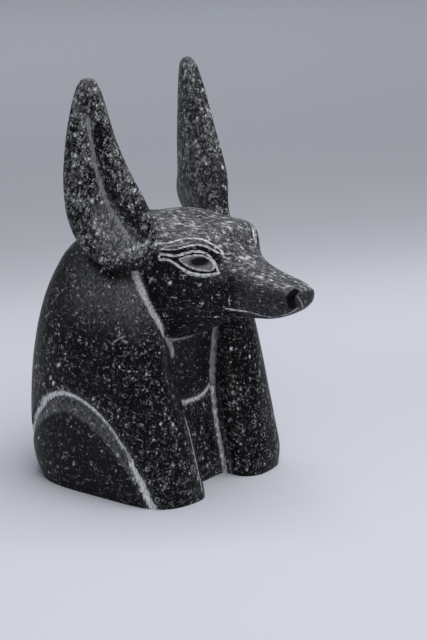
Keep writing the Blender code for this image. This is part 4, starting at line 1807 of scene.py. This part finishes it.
@dataclass
class JackalHead:
    """The sculpture: one block, roughed out, carved, pecked and polished.

    Lengths are in millimetres and shares run from 0 to 1. Channel_share and wig_share are
    the heights of the channel and of the wig's dome as shares of the crown's and the
    block's, spread_share is the ears' spread. Eye_rise and mouth_rise are levels as shares
    of the crown's height. A span holds the limits between which something fades in.

    Attributes:
        block: outer sizes of the block.
        stone: its finish.
        chisel: what cuts its lines.
        hammer: what pecks it.
        wig_wear: how wig, shoulders and chest are worked.
        head_wear: how the head is worked.
        ear_wear: how the ears are worked.
        voxel: pitch of the even mesh it is roughed out in.
        triangles: how many it has before its base is sawn.
        crown_rise: how far the head's crown stands above the dome.
        ear_sink: how far below the dome the ears' feet are.
        eye_share: where the eye starts, as a share of the snout's reach.
        even_steps: how often the whole surface is evened.
        roll_steps: how often the lappets' edges and the crown are smoothed.
        roll_end: share of the channel's height up to which the edges are rolled.
        edge_radius: how far round the lappets' edges the smoothing reaches.
        crown_radius: how far round the crown it reaches.
        crown_sink: how far below the dome that is centred.
        fade: share of these reaches over which it fades out.
        shoulder_height: of the arch over a shoulder.
        bevel_width: width of the slope below the arch.
        bevel_foot: its width at the base as a share of that.
        bevel_depth: how deep it starts.
        bevel_curve: how hollow it is, where 1 is flat.
        bevel_edge: the span of its haze in shares of its width.
        bevel_rise: the span of its haze in shares of the arch's height.
        groove_width: how wide the arch's outer edge is cut.
        collar_level: height of the collar's line in the middle.
        collar_rise: how much higher it is at the channel's corners.
        neck_step: how far the chest is set back below the collar.
        neck_reach: how far from the channel's floor that reaches.
        corner_inset: how far inside the channel its corner lines are aimed.
        corner_end: share of the channel's height up to which they are cut.
        highlight_foot: share of the channel's height where the painted highlight along the lappet's rim
            starts.
        highlight_crest: its place outside the wall and in front of the lip's edge, in lips.
        eye_length: of the eye with its outer bar.
        eye_height: the height that the eye's shares are taken of.
        cut_sizes: width, depth, chalk and spill of each family of cuts.
        fine_reach: how far from fine lines the mesh is split.
        own: span round a rough body within which a place is its own.
        ear_foot: span of height over which the ears start.
        head_back: span along Y over which the head starts.
        ear_shade: span round an ear where the wig is darkened as painted shade.
        ear_shade_bare: share of the marks taken away there for that painted shade.
        brushed: span of how far a place of the head looks up.
        iris_reach: how far the iris's distance is kept, in its half widths.
    """

    block: Block
    stone: PolishedBasalt = field(default_factory=PolishedBasalt)
    chisel: Chisel = field(default_factory=Chisel)
    hammer: PeckHammer = field(default_factory=PeckHammer)
    wig_wear: WigWear = field(default_factory=WigWear)
    head_wear: HeadWear = field(default_factory=HeadWear)
    ear_wear: EarWear = field(default_factory=EarWear)
    voxel: float = 0.62
    triangles: int = 190000
    wig_share: float = 0.6484
    crown_rise: float = 3.6
    channel_share: float = 0.69
    spread_share: float = 0.712
    ear_sink: float = 17.0
    eye_share: float = 0.22
    eye_rise: float = 0.872
    mouth_rise: float = 0.702
    even_steps: int = 8
    roll_steps: int = 130
    roll_end: float = 0.9
    edge_radius: float = 11.0
    crown_radius: float = 34.0
    crown_sink: float = 2.0
    fade: float = 0.35
    shoulder_height: float = 43.4
    bevel_width: float = 9.5
    bevel_foot: float = 0.12
    bevel_depth: float = 1.3
    bevel_curve: float = 1.5
    bevel_edge: Span = (1.1, 0.8)
    bevel_rise: Span = (-0.1, 0.5)
    groove_width: float = 2.8
    collar_level: float = 36.0
    collar_rise: float = 4.0
    neck_step: float = 0.6
    neck_reach: float = 2.0
    corner_inset: float = 0.5
    corner_end: float = 0.78
    highlight_foot: float = 0.05
    highlight_crest: Span = (1.3, 0.8)
    eye_length: float = 22.7
    eye_height: float = 10.0
    cut_sizes: dict[str, CutSize] = field(default_factory=lambda: dict(CUT_SIZES))
    fine_reach: float = 2.4
    own: Span = (1.9, 0.95)
    ear_foot: Span = (100.0, 106.0)
    head_back: Span = (14.0, 2.0)
    # painted shade on the wig under the ears
    ear_shade: Span = (7.0, 2.5)
    ear_shade_bare: float = 0.6
    brushed: Span = (0.15, 0.6)
    iris_reach: float = 4.0

    def __post_init__(self) -> None:
        """Works out the parts' sizes from the block's."""
        top = self.block.tip * self.wig_share
        self.wig = Wig(self.block.width, top, self.block.back)
        self.head = Head(top + self.crown_rise, self.block.reach)
        self.channel = Channel(self.channel_share * self.head.top, self.wig.lappet_reach)
        spread = self.spread_share * self.block.width / 2
        self.ears = [Ear(side, top - self.ear_sink, self.block.tip, spread) for side in Side]
        self.eye_start = self.eye_share * self.head.snout
        self.eye_level = self.eye_rise * self.head.top
        self.mouth_level = self.mouth_rise * self.head.top

    def eye_places(self, shares: Places) -> list[tuple[float, float]]:
        """Turns shares of the eye's length and height into Y and Z."""
        return [
            (-self.eye_start - s * self.eye_length, self.eye_level + h * self.eye_height)
            for s, h in shares
        ]

    def mouth_places(self, shares: Places) -> list[tuple[float, float]]:
        """Turns shares of the head's length and the eye's height into Y and Z."""
        return [
            (self.head.back - s * self.head.length, self.mouth_level + h * self.eye_height)
            for s, h in shares
        ]

    def rough_out(self) -> bpy.types.Object:
        """Fuses wig, head and ears to one body of even mesh.

        Returns:
            The rough block.
        """
        wig = self.wig.body()
        cutter = self.channel.cutter()
        cut = wig.modifiers.new("channel", "BOOLEAN")
        cut.operation = "DIFFERENCE"
        cut.solver = "EXACT"
        cut.object = cutter
        block = settled(wig, "block")
        bpy.data.objects.remove(cutter)
        pieces = [self.head.body()] + [ear.body() for ear in self.ears]
        graph = bpy.context.evaluated_depsgraph_get()
        self.head_tree, *self.ear_trees = (BVHTree.FromObject(one, graph) for one in pieces)
        shells = bmesh.new()
        for piece in [block] + pieces:
            shells.from_mesh(piece.data)
        shells.to_mesh(block.data)
        shells.free()
        for piece in pieces:
            bpy.data.objects.remove(piece)
        fuse = block.modifiers.new("fuse", "REMESH")
        fuse.mode = "VOXEL"
        fuse.voxel_size = self.voxel * MM
        return settled(block, "block")

    def soften(self, block: bpy.types.Object) -> bpy.types.Object:
        """Rolls the lappets' inner edges, blends the crown and evens the surface.

        Args:
            block: the rough block, which is replaced.

        Returns:
            The softened block.
        """
        points = points_of(block.data)
        step = LINE_STEP / self.channel.top
        shares = np.arange(CHANNEL_STATIONS[0][0], self.roll_end, step)
        wall, _, lip = self.channel.at(shares)
        out, front = LIP_CREST
        weight = np.zeros(len(points))
        for side in Side:
            x = side.value * (wall + out * self.channel.lip)
            y = lip - front * self.channel.lip
            edge = np.column_stack([x, y, shares * self.channel.top])
            near = distance_to(edge, points, self.edge_radius) / self.edge_radius
            weight = np.maximum(weight, np.clip((1 - near) / self.fade, 0, 1))
        crown = np.array([0.0, self.head.back / 2, self.wig.top - self.crown_sink])
        near = np.linalg.norm(points - crown, axis=1) / self.crown_radius
        weight = np.maximum(weight, np.clip((1 - near) / self.fade, 0, 1))
        group = block.vertex_groups.new(name="soft")
        for index in np.flatnonzero(weight > 0):
            group.add([int(index)], float(weight[index]), "REPLACE")
        for name, steps, members in (
            ("even", self.even_steps, ""), ("roll", self.roll_steps, group.name),
        ):
            smooth = block.modifiers.new(name, "SMOOTH")
            smooth.iterations = steps
            smooth.vertex_group = members
        return settled(block, "block")

    def shoulder(
        self, tree: BVHTree, side: Side, points: np.ndarray
    ) -> tuple[np.ndarray, np.ndarray, np.ndarray]:
        """Works out the arched edge over a shoulder.

        Args:
            tree: the surface.
            side: which shoulder.
            points: the places to sink.

        Returns:
            The line on the surface, each point's depth and each point's haze.
        """
        angle, height = dense([(a, h * self.shoulder_height) for a, h in SHOULDER_LINE]).T
        turn = np.radians(angle)
        away = np.column_stack([side.value * np.cos(turn), np.sin(turn)])
        flat = away * self.wig.width / 2 + (0, self.wig.middle)
        line = laid(tree, np.column_stack([flat, height]))
        near = distance_to(line, points, self.bevel_width)
        place = np.degrees(np.arctan2(points[:, 1] - self.wig.middle, side.value * points[:, 0]))
        inside = points[:, 2] < np.interp(place, angle, height)
        rise = np.clip(points[:, 2] / self.shoulder_height, 0, 1)
        breadth = self.bevel_width * (self.bevel_foot + (1 - self.bevel_foot) * rise)
        slope = self.bevel_depth * np.clip(1 - near / breadth, 0, 1) ** self.bevel_curve
        outside = self.bevel_depth * np.clip(1 - 2 * near / self.groove_width, 0, 1)
        haze = ramp(near / breadth, *self.bevel_edge) * ramp(rise, *self.bevel_rise)
        return line, np.where(inside, slope, outside), np.where(inside, haze, 0)

    def lines(self, tree: BVHTree, side: Side) -> dict[str, list[np.ndarray]]:
        """Lays one side's lines on the surface.

        Args:
            tree: the surface.
            side: which side.

        Returns:
            The lines by family of cuts.
        """

        def seen(places: Places) -> np.ndarray:
            """A line that is given as seen from the side."""
            return seen_from_side(tree, side, dense(places))

        def nearest(places: Places) -> np.ndarray:
            """A line that is given by places on the head."""
            return laid(tree, dense(self.head.places(side, places)))

        eye = (BROW_TOP, BROW_LOW, UPPER_LID, LOWER_LID, OUTER_BAR)
        ear = next(ear for ear in self.ears if ear.side is side)
        scratches = [seen(self.mouth_places(MOUTH_TICK)), nearest(LIP_SCRATCH)]
        scratches.append(nearest(BROW_DASH))
        scratches += [seen(self.eye_places(line)) for line in (LOWER_SHADE, BROW_MIDDLE)]
        return {
            "eye_lines": [seen(self.eye_places(line)) for line in eye],
            "eyeball_rims": [seen(self.eye_places(EYEBALL))],
            "mouth_lines": [seen(self.mouth_places(MOUTH_LINE))], "scratches": scratches,
            "ear_ridges": [seen(ear.places(EAR_VALLEY))],
            "neck_tails": [nearest(NECK_TAIL)] if side is Side.RIGHT else [],
            "face_edges": [nearest(line) for line in (FACE_LINE, FACE_LINE_TOP)],
            "jaw_creases": [nearest(JAW_LINE)], "nostrils": [nearest(NOSTRIL)],
        }

    def chest_lines(self, tree: BVHTree) -> dict[str, list[np.ndarray]]:
        """Lays the channel's corners, a painted highlight along a lappet's rim and the collar's line on
        the surface.

        Args:
            tree: the surface.

        Returns:
            The lines by family of cuts.
        """
        top = self.channel.top
        step = LINE_STEP / top
        collar_share = (self.collar_level + self.collar_rise) / top

        def corners(first: float, last: float) -> list[np.ndarray]:
            """Both corners between two shares of the channel's top."""
            shares = np.arange(first, last, step)
            wall, floor, _ = self.channel.at(shares)
            x, y = wall - self.corner_inset, floor - self.corner_inset
            return [laid(tree, np.column_stack([s.value * x, y, shares * top])) for s in Side]

        # a painted highlight along the near lappet's rim, laid as a pale chalked line
        shares = np.arange(self.highlight_foot, self.collar_level / top, step)
        wall, _, lip = self.channel.at(shares)
        out, front = self.highlight_crest
        x = Side.RIGHT.value * (wall + out * self.channel.lip)
        edge = laid(tree, np.column_stack([x, lip - front * self.channel.lip, shares * top]))
        width = self.channel.width
        x = np.arange(-0.5, 0.5, LINE_STEP / width) * width
        z = self.collar(x)
        collar = laid(tree, np.column_stack([x, self.channel.at(z / top)[1], z]))
        return {
            "lower_corners": corners(CHANNEL_STATIONS[0][0], collar_share),
            "upper_corners": corners(collar_share, self.corner_end), "lappet_edge": [edge],
            "collar_line": [collar],
        }

    def collar(self, x: np.ndarray) -> np.ndarray:
        """Height of the collar's line at a place across the chest."""
        return self.collar_level + self.collar_rise * np.abs(2 * x / self.channel.width) ** 3

    def sink_chest(self, points: np.ndarray) -> np.ndarray:
        """Sets the chest back below the collar.

        Args:
            points: the places of the block.

        Returns:
            How far each place is set back.
        """
        wall, floor, _ = self.channel.at(points[:, 2] / self.channel.top)
        chest = np.abs(points[:, 0]) < wall - self.corner_inset
        chest &= np.abs(points[:, 1] - floor) < self.neck_reach
        return np.where(chest & (points[:, 2] < self.collar(points[:, 0])), self.neck_step, 0)

    def refine(self, block: bpy.types.Object, lines: Sequence[np.ndarray], reach: float) -> None:
        """Splits the faces near fine lines so that the chisel finds enough mesh.

        Args:
            block: the body.
            lines: the fine lines.
            reach: how far from them the faces are split.
        """
        points = points_of(block.data)
        near = np.full(len(points), np.inf)
        for line in lines:
            near = np.minimum(near, distance_to(line, points, reach))
        fine = near < reach
        mesh = bmesh.new()
        mesh.from_mesh(block.data)
        mesh.verts.ensure_lookup_table()
        edges = [e for e in mesh.edges if fine[e.verts[0].index] and fine[e.verts[1].index]]
        bmesh.ops.subdivide_edges(mesh, edges=edges, cuts=1, use_grid_fill=True)
        mesh.to_mesh(block.data)
        mesh.free()

    def gap_to(self, trees: Sequence[BVHTree], points: np.ndarray) -> np.ndarray:
        """Measures how far places are from the rough bodies.

        Args:
            trees: the rough bodies.
            points: the places.

        Returns:
            Each place's distance from the nearest of them.
        """
        found = [min(tree.find_nearest(point * MM)[3] for tree in trees) for point in points]
        return np.array(found) / MM

    def arch_over(self, points: np.ndarray) -> np.ndarray:
        """Height of the shoulder's arch where each point stands, on its own side."""
        away = points[:, 1] - self.wig.middle
        place = np.degrees(np.arctan2(away, np.abs(points[:, 0])))
        angle, share = np.array(SHOULDER_LINE).T
        return np.interp(place, angle, share) * self.shoulder_height

    def peck_wig(self, points: np.ndarray, bevel: np.ndarray) -> tuple[np.ndarray, np.ndarray]:
        """Says how the wig, the shoulders and the chest are worked.

        Args:
            points: the places.
            bevel: how far each place lies in the slope below the shoulder's arch.

        Returns:
            How densely each place is pecked and how hazy it is, with a painted sheen on the rubbed
            flank, from 0 to 1.
        """
        wear = self.wig_wear
        x, y, z = np.abs(points[:, 0]), points[:, 1], points[:, 2]
        back = ramp(y, *wear.back)
        foot = ramp(z, *wear.foot[1]) * ramp(y, *wear.foot[0])
        across, along, up = wear.rubbed
        rubbed = ramp(z, *up) * ramp(y, *along) * ramp(x, *across)
        pecking = wear.pecks + wear.back_pecks * back + wear.foot_pecks * foot
        pecking *= 1 - wear.rubbed_away * rubbed
        # the rubbed flank below the ears gets a film that is partly a painted sheen
        haze = wear.rubbed_haze_and_sheen * rubbed + wear.back_haze * back
        shoulder = ramp(self.arch_over(points) - z, *wear.shoulder)
        pecking *= 1 - shoulder * (wear.shoulder_bare - wear.bevel_pecks * bevel)
        haze = haze * (1 - shoulder) + wear.shoulder_haze * shoulder + wear.bevel_haze * bevel
        wall, floor, _ = self.channel.at(z / self.channel.top)
        chest = (x < wall) & (np.abs(y - floor) < wear.chest_reach) & (z < self.channel.top)
        neck = z > self.collar_level + self.collar_rise / 2
        pecking = np.where(chest, np.where(neck, wear.neck_pecks, wear.chest_pecks), pecking)
        ahead, beside = floor - y, x - wall
        roll = (beside > wear.roll_width[0]) & (beside < wear.roll_width[1])
        roll &= (ahead > wear.roll_start) & (z < self.collar_level + self.collar_rise)
        haze = np.where(roll, wear.roll_haze * ramp(ahead, *wear.roll), haze)
        return pecking, np.where(chest, wear.chest_haze, haze)

    def peck_head(self, points: np.ndarray, up: np.ndarray) -> tuple[np.ndarray, np.ndarray]:
        """Says how the head is worked.

        Args:
            points: the places.
            up: how far each place looks up.

        Returns:
            How densely each place is pecked and how hazy it is, with painted light from above, from 0
            to 1.
        """
        wear = self.head_wear
        y, seen = points[:, 1], points[:, 1:]
        top = ramp(up, *wear.top)
        crown = ramp(y, *wear.crown)
        snout = ramp(y, *wear.snout)
        pecking = wear.pecks + wear.top_pecks * top
        pecking *= 1 - wear.snout_bare * snout * (1 - top)
        # painted light from above: places that look up get a paler film, on crown and nose too
        haze = top * (wear.top_haze_and_light + wear.crown_haze_and_light * crown) + wear.snout_haze * snout
        haze += wear.nose_haze_and_light * top * ramp(y, *wear.nose)
        corner = np.array(self.eye_places(LOWER_LID[-1:])[0])
        haze += wear.corner_haze * ramp(np.linalg.norm(seen - corner, axis=1), *wear.corner)
        upper, lower, brow, ball = (
            dense(self.eye_places(line)) for line in (UPPER_LID, LOWER_LID, BROW_LOW, EYEBALL)
        )
        polished = inside_outline(np.concatenate([upper, lower[::-1]]), seen)
        polished |= inside_outline(np.concatenate([brow, upper[::-1]]), seen)
        haze = np.where(polished, 0.0, haze)
        haze = np.where(inside_outline(ball, seen), wear.ball_haze, haze)
        return np.where(polished, 0.0, pecking), haze

    def peck_ear(
        self, ear: Ear, points: np.ndarray, outward: np.ndarray
    ) -> tuple[np.ndarray, np.ndarray]:
        """Says how an ear is worked.

        Args:
            ear: the ear.
            points: the places.
            outward: how far each place looks away from the middle plane.

        Returns:
            How densely each place is pecked and how hazy it is, with painted light on the inner face,
            from 0 to 1.
        """
        wear = self.ear_wear
        seen = points[:, 1:]

        def beside(line: Places, span: Span) -> np.ndarray:
            """How near each place is to a line on the ear, as seen from the side."""
            return ramp(distance_to(dense(ear.places(line)), seen, max(span)), *span)

        ridge = beside(EAR_VALLEY, wear.ridge)
        spoon = beside(EAR_SPOON, wear.spoon)
        gutter = beside(EAR_GUTTER, wear.gutter)
        rise = (seen[:, 1] - ear.foot) / (ear.tip - ear.foot)
        front = ramp(seen[:, 0], *wear.front) * ramp(rise, *wear.front_rise)
        outer = wear.pecks - wear.gutter_bare * gutter
        inner = wear.inner_pecks - wear.front_bare * front
        pecking = np.where(outward > 0, outer, inner)
        outer = np.maximum(wear.ridge_haze * ridge, wear.spoon_haze * spoon)
        # painted light on the inner face, strongest at its root, with its haze
        inner = wear.inner_haze_and_light + wear.root_haze_and_light * ramp(rise, *wear.root) * (1 - front)
        haze = np.where(outward > 0, outer, inner)
        return np.maximum(pecking, spoon), np.maximum(haze, wear.tip_haze * ramp(rise, *wear.tip))

    def keep_regions(self, block: bpy.types.Object, bevel: np.ndarray) -> None:
        """Keeps where the stone is pecked, hazy or dark, with its painted light and shade, for the
        hammer and the finish.

        Args:
            block: the carved body.
            bevel: how far each place lies in the slope below a shoulder's arch.
        """
        mesh = block.data
        points, normals = points_of(mesh), normals_of(mesh)
        gap = self.gap_to(self.ear_trees, points)
        ears = ramp(gap, *self.own) * ramp(points[:, 2], *self.ear_foot)
        head = ramp(self.gap_to([self.head_tree], points), *self.own) * (1 - ears)
        head *= ramp(points[:, 1], *self.head_back)
        pecking, haze = self.peck_wig(points, bevel)
        # painted shade on the wig under the ears: fewer marks and no film near them
        ear_shaded = ramp(gap, *self.ear_shade)
        pecking *= 1 - self.ear_shade_bare * ear_shaded
        haze *= 1 - ear_shaded
        parts = [(head, *self.peck_head(points, normals[:, 2]))]
        for ear in self.ears:
            outward = ear.side.value * normals[:, 0]
            own = ears * (ear.side.value * points[:, 0] > 0)
            parts.append((own, *self.peck_ear(ear, points, outward)))
        for share, pecked, hazed in parts:
            pecking += share * (pecked - pecking)
            haze += share * (hazed - haze)
        centre = np.array(self.eye_places((IRIS,))[0])
        size = np.array([IRIS_SIZE[0] * self.eye_length, IRIS_SIZE[1] * self.eye_height])
        away = np.linalg.norm((points[:, 1:] - centre) / size, axis=1)
        ball = inside_outline(dense(self.eye_places(EYEBALL)), points[:, 1:])
        keep_values(mesh, "pecking", np.clip(pecking, 0, 1))
        keep_values(mesh, "ear", ears)
        keep_values(mesh, "head", head)
        keep_values(mesh, "brushed", head * ramp(normals[:, 2], *self.brushed))
        keep_values(mesh, "haze", np.clip(haze, 0, 1))
        away = np.where(ball & (head > 0.5), away, self.iris_reach)
        keep_values(mesh, "iris", np.minimum(away, self.iris_reach))

    def saw_base(self, body: bpy.types.Object) -> None:
        """Saws the block off level and leaves one flat face underneath.

        Args:
            body: the sculpture.
        """
        mesh = bmesh.new()
        mesh.from_mesh(body.data)
        drop_specks(mesh)
        whole = mesh.verts[:] + mesh.edges[:] + mesh.faces[:]
        cut = bmesh.ops.bisect_plane(
            mesh, geom=whole, plane_co=(0, 0, 0), plane_no=(0, 0, 1), clear_inner=True
        )
        rim = [e for e in cut["geom_cut"] if isinstance(e, bmesh.types.BMEdge)]
        filled = bmesh.ops.holes_fill(mesh, edges=rim)
        bmesh.ops.recalc_face_normals(mesh, faces=mesh.faces)
        for face in mesh.faces:
            face.smooth = True
        for face in filled["faces"]:
            face.smooth = False
        bmesh.ops.triangulate(mesh, faces=filled["faces"])
        mesh.to_mesh(body.data)
        mesh.free()

    def build(self) -> bpy.types.Object:
        """Makes the finished piece.

        Returns:
            The sculpture as one plain mesh with its stone.
        """
        stone = self.stone.build()
        block = self.soften(self.rough_out())
        log.info("roughed out: %d faces", len(block.data.polygons))
        graph = bpy.context.evaluated_depsgraph_get()
        tree = BVHTree.FromObject(block, graph)
        sides = [self.lines(tree, side) for side in Side]
        family = {name: [line for side in sides for line in side[name]] for name in sides[0]}
        family |= self.chest_lines(tree)
        fine = ("eye_lines", "eyeball_rims", "nostrils", "mouth_lines", "scratches")
        self.refine(block, [line for name in fine for line in family[name]], self.fine_reach)
        points = points_of(block.data)
        depth = self.sink_chest(points)
        haze = np.zeros(len(points))
        arches = []
        for side in Side:
            arch, sunk, hazy_and_lit = self.shoulder(tree, side, points)
            arches.append(arch)
            depth = np.maximum(depth, sunk)
            haze = np.maximum(haze, hazy_and_lit)
        move_points(block.data, points - normals_of(block.data) * depth[:, None])
        bevelled = bmesh.new()
        bevelled.from_mesh(block.data)
        surface = BVHTree.FromBMesh(bevelled)
        bevelled.free()
        keep_values(block.data, "bevel", haze)
        family["shoulder_arches"] = [laid(surface, arch) for arch in arches]
        length, height = self.wig.lappet_reach, self.wig.top
        scratch = dense([(y * length, z * height) for y, z in FLANK_SCRATCH])
        family["scratches"].append(seen_from_side(tree, Side.RIGHT, scratch))
        cuts = [Cut(name, *size, family[name]) for name, size in self.cut_sizes.items()]
        block = self.chisel.carve(block, cuts, stone)
        bevel = np.empty(len(block.data.vertices), np.float32)
        block.data.attributes["bevel"].data.foreach_get("value", bevel)
        self.keep_regions(block, bevel)
        block = self.hammer.strike(block, stone)
        block.data.calc_loop_triangles()
        thin = block.modifiers.new("thin", "DECIMATE")
        thin.ratio = self.triangles / len(block.data.loop_triangles)
        piece = settled(block, "jackal_head")
        self.saw_base(piece)
        low, high = (np.array(corner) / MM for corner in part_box(NODE))
        move_points(piece.data, np.clip(points_of(piece.data), low, high))
        piece.data.materials.clear()
        piece.data.materials.append(stone)
        piece.data.calc_loop_triangles()
        log.info("carved: %d triangles", len(piece.data.loop_triangles))
        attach(piece, "root")
        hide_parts(NODE)
        return piece


@dataclass(frozen=True)
class Viewpoint:
    """The photograph's camera, worked out from the base's corners and the ears' tips.

    Attributes:
        azimuth: angle round the object from the front, in degrees.
        elevation: angle above the horizon, in degrees.
        focal_px: focal length in pixels of the photograph.
        distance: along the view to the anchor.
        anchor: a point of the base in millimetres.
        anchor_px: the pixel where the anchor is seen.
        frame_px: the photograph's width and height.
        sensor: width of the sensor along the frame's long side.
    """

    azimuth: float = -52.0
    elevation: float = 15.8
    focal_px: float = 2534.0
    distance: float = 1130.0
    anchor: tuple[float, float, float] = (-15.0, 0.0, 0.0)
    anchor_px: tuple[float, float] = (150.0, 480.0)
    frame_px: tuple[int, int] = (427, 640)
    sensor: float = 36.0

    def build(self) -> bpy.types.Object:
        """Sets up the camera.

        Returns:
            The camera object, set as the scene's camera.
        """
        a, e = math.radians(self.azimuth), math.radians(self.elevation)
        forward = Vector((-math.sin(a) * math.cos(e), math.cos(a) * math.cos(e), -math.sin(e)))
        right = forward.cross(Vector((0, 0, 1))).normalized()
        up = right.cross(forward)
        across, down = (
            (seen - size / 2) / self.focal_px * self.distance
            for seen, size in zip(self.anchor_px, self.frame_px)
        )
        offset = forward * self.distance + right * across - up * down
        data = bpy.data.cameras.new("photo_camera")
        data.sensor_width = self.sensor
        data.lens = self.focal_px * self.sensor / max(self.frame_px)
        data.clip_start = 0.05
        camera = bpy.data.objects.new("photo_camera", data)
        camera.location = (Vector(self.anchor) - offset) * MM
        camera.rotation_euler = forward.to_track_quat("-Z", "Y").to_euler()
        bpy.context.scene.collection.objects.link(camera)
        bpy.context.scene.camera = camera
        return camera


@dataclass(frozen=True)
class Softbox:
    """A square area light that points at the object.

    Attributes:
        name: what it is.
        place: where it hangs, in metres.
        size: its side in metres.
        power: in watts.
        aim: the height above the floor that it points at, in metres.
    """

    name: str
    place: tuple[float, float, float]
    size: float
    power: float
    aim: float = 0.08

    def build(self) -> bpy.types.Object:
        """Hangs the light.

        Returns:
            The light object.
        """
        data = bpy.data.lights.new(self.name, "AREA")
        data.size = self.size
        data.energy = self.power
        light = bpy.data.objects.new(self.name, data)
        light.location = self.place
        away = Vector((0, 0, self.aim)) - Vector(self.place)
        light.rotation_euler = away.to_track_quat("-Z", "Y").to_euler()
        bpy.context.scene.collection.objects.link(light)
        return light


@dataclass(frozen=True)
class Studio:
    """Floor, lights and surroundings.

    Attributes:
        floor_radius: of the round floor, in metres.
        sky: colour of the surrounding light.
        sky_strength: its strength.
        paper: the floor's finish, whose colour carries painted light and shade.
        lights: the softboxes.
    """

    floor_radius: float = 6.0
    sky: str = "#c9ccd4"
    sky_strength: float = 0.36
    paper: StudioPaper = field(default_factory=StudioPaper)
    lights: tuple[Softbox, ...] = (
        Softbox("top_softbox", (0.18, -0.22, 1.25), 1.3, 13.0),
        Softbox("front_softbox", (-1.3, -1.2, 1.1), 0.9, 6.0),
    )

    def build(self) -> bpy.types.Object:
        """Lays the floor, hangs the lights and sets the surroundings.

        Returns:
            The floor.
        """
        mesh = bpy.data.meshes.new("floor")
        disc = bmesh.new()
        bmesh.ops.create_circle(disc, cap_ends=True, segments=96, radius=self.floor_radius)
        disc.to_mesh(mesh)
        disc.free()
        floor = linked("floor", mesh)
        mesh.materials.append(self.paper.build())
        for softbox in self.lights:
            softbox.build()
        world = bpy.data.worlds.new("studio")
        world.use_nodes = True
        backdrop = world.node_tree.nodes["Background"]
        backdrop.inputs["Color"].default_value = linear(self.sky)
        backdrop.inputs["Strength"].default_value = self.sky_strength
        bpy.context.scene.world = world
        bpy.context.scene.view_settings.view_transform = "Standard"
        return floor


def main() -> None:
    """Builds the camera, the studio and the sculpture, and logs the piece's vertex count."""
    logging.basicConfig(level=logging.INFO, format="%(name)s: %(message)s")
    Viewpoint().build()
    log.info("camera placed")
    Studio().build()
    log.info("studio laid")
    piece = JackalHead(Block.of_node(NODE)).build()
    log.info("piece %s: %d vertices", piece.name, len(piece.data.vertices))


if __name__ == "__main__":
    main()
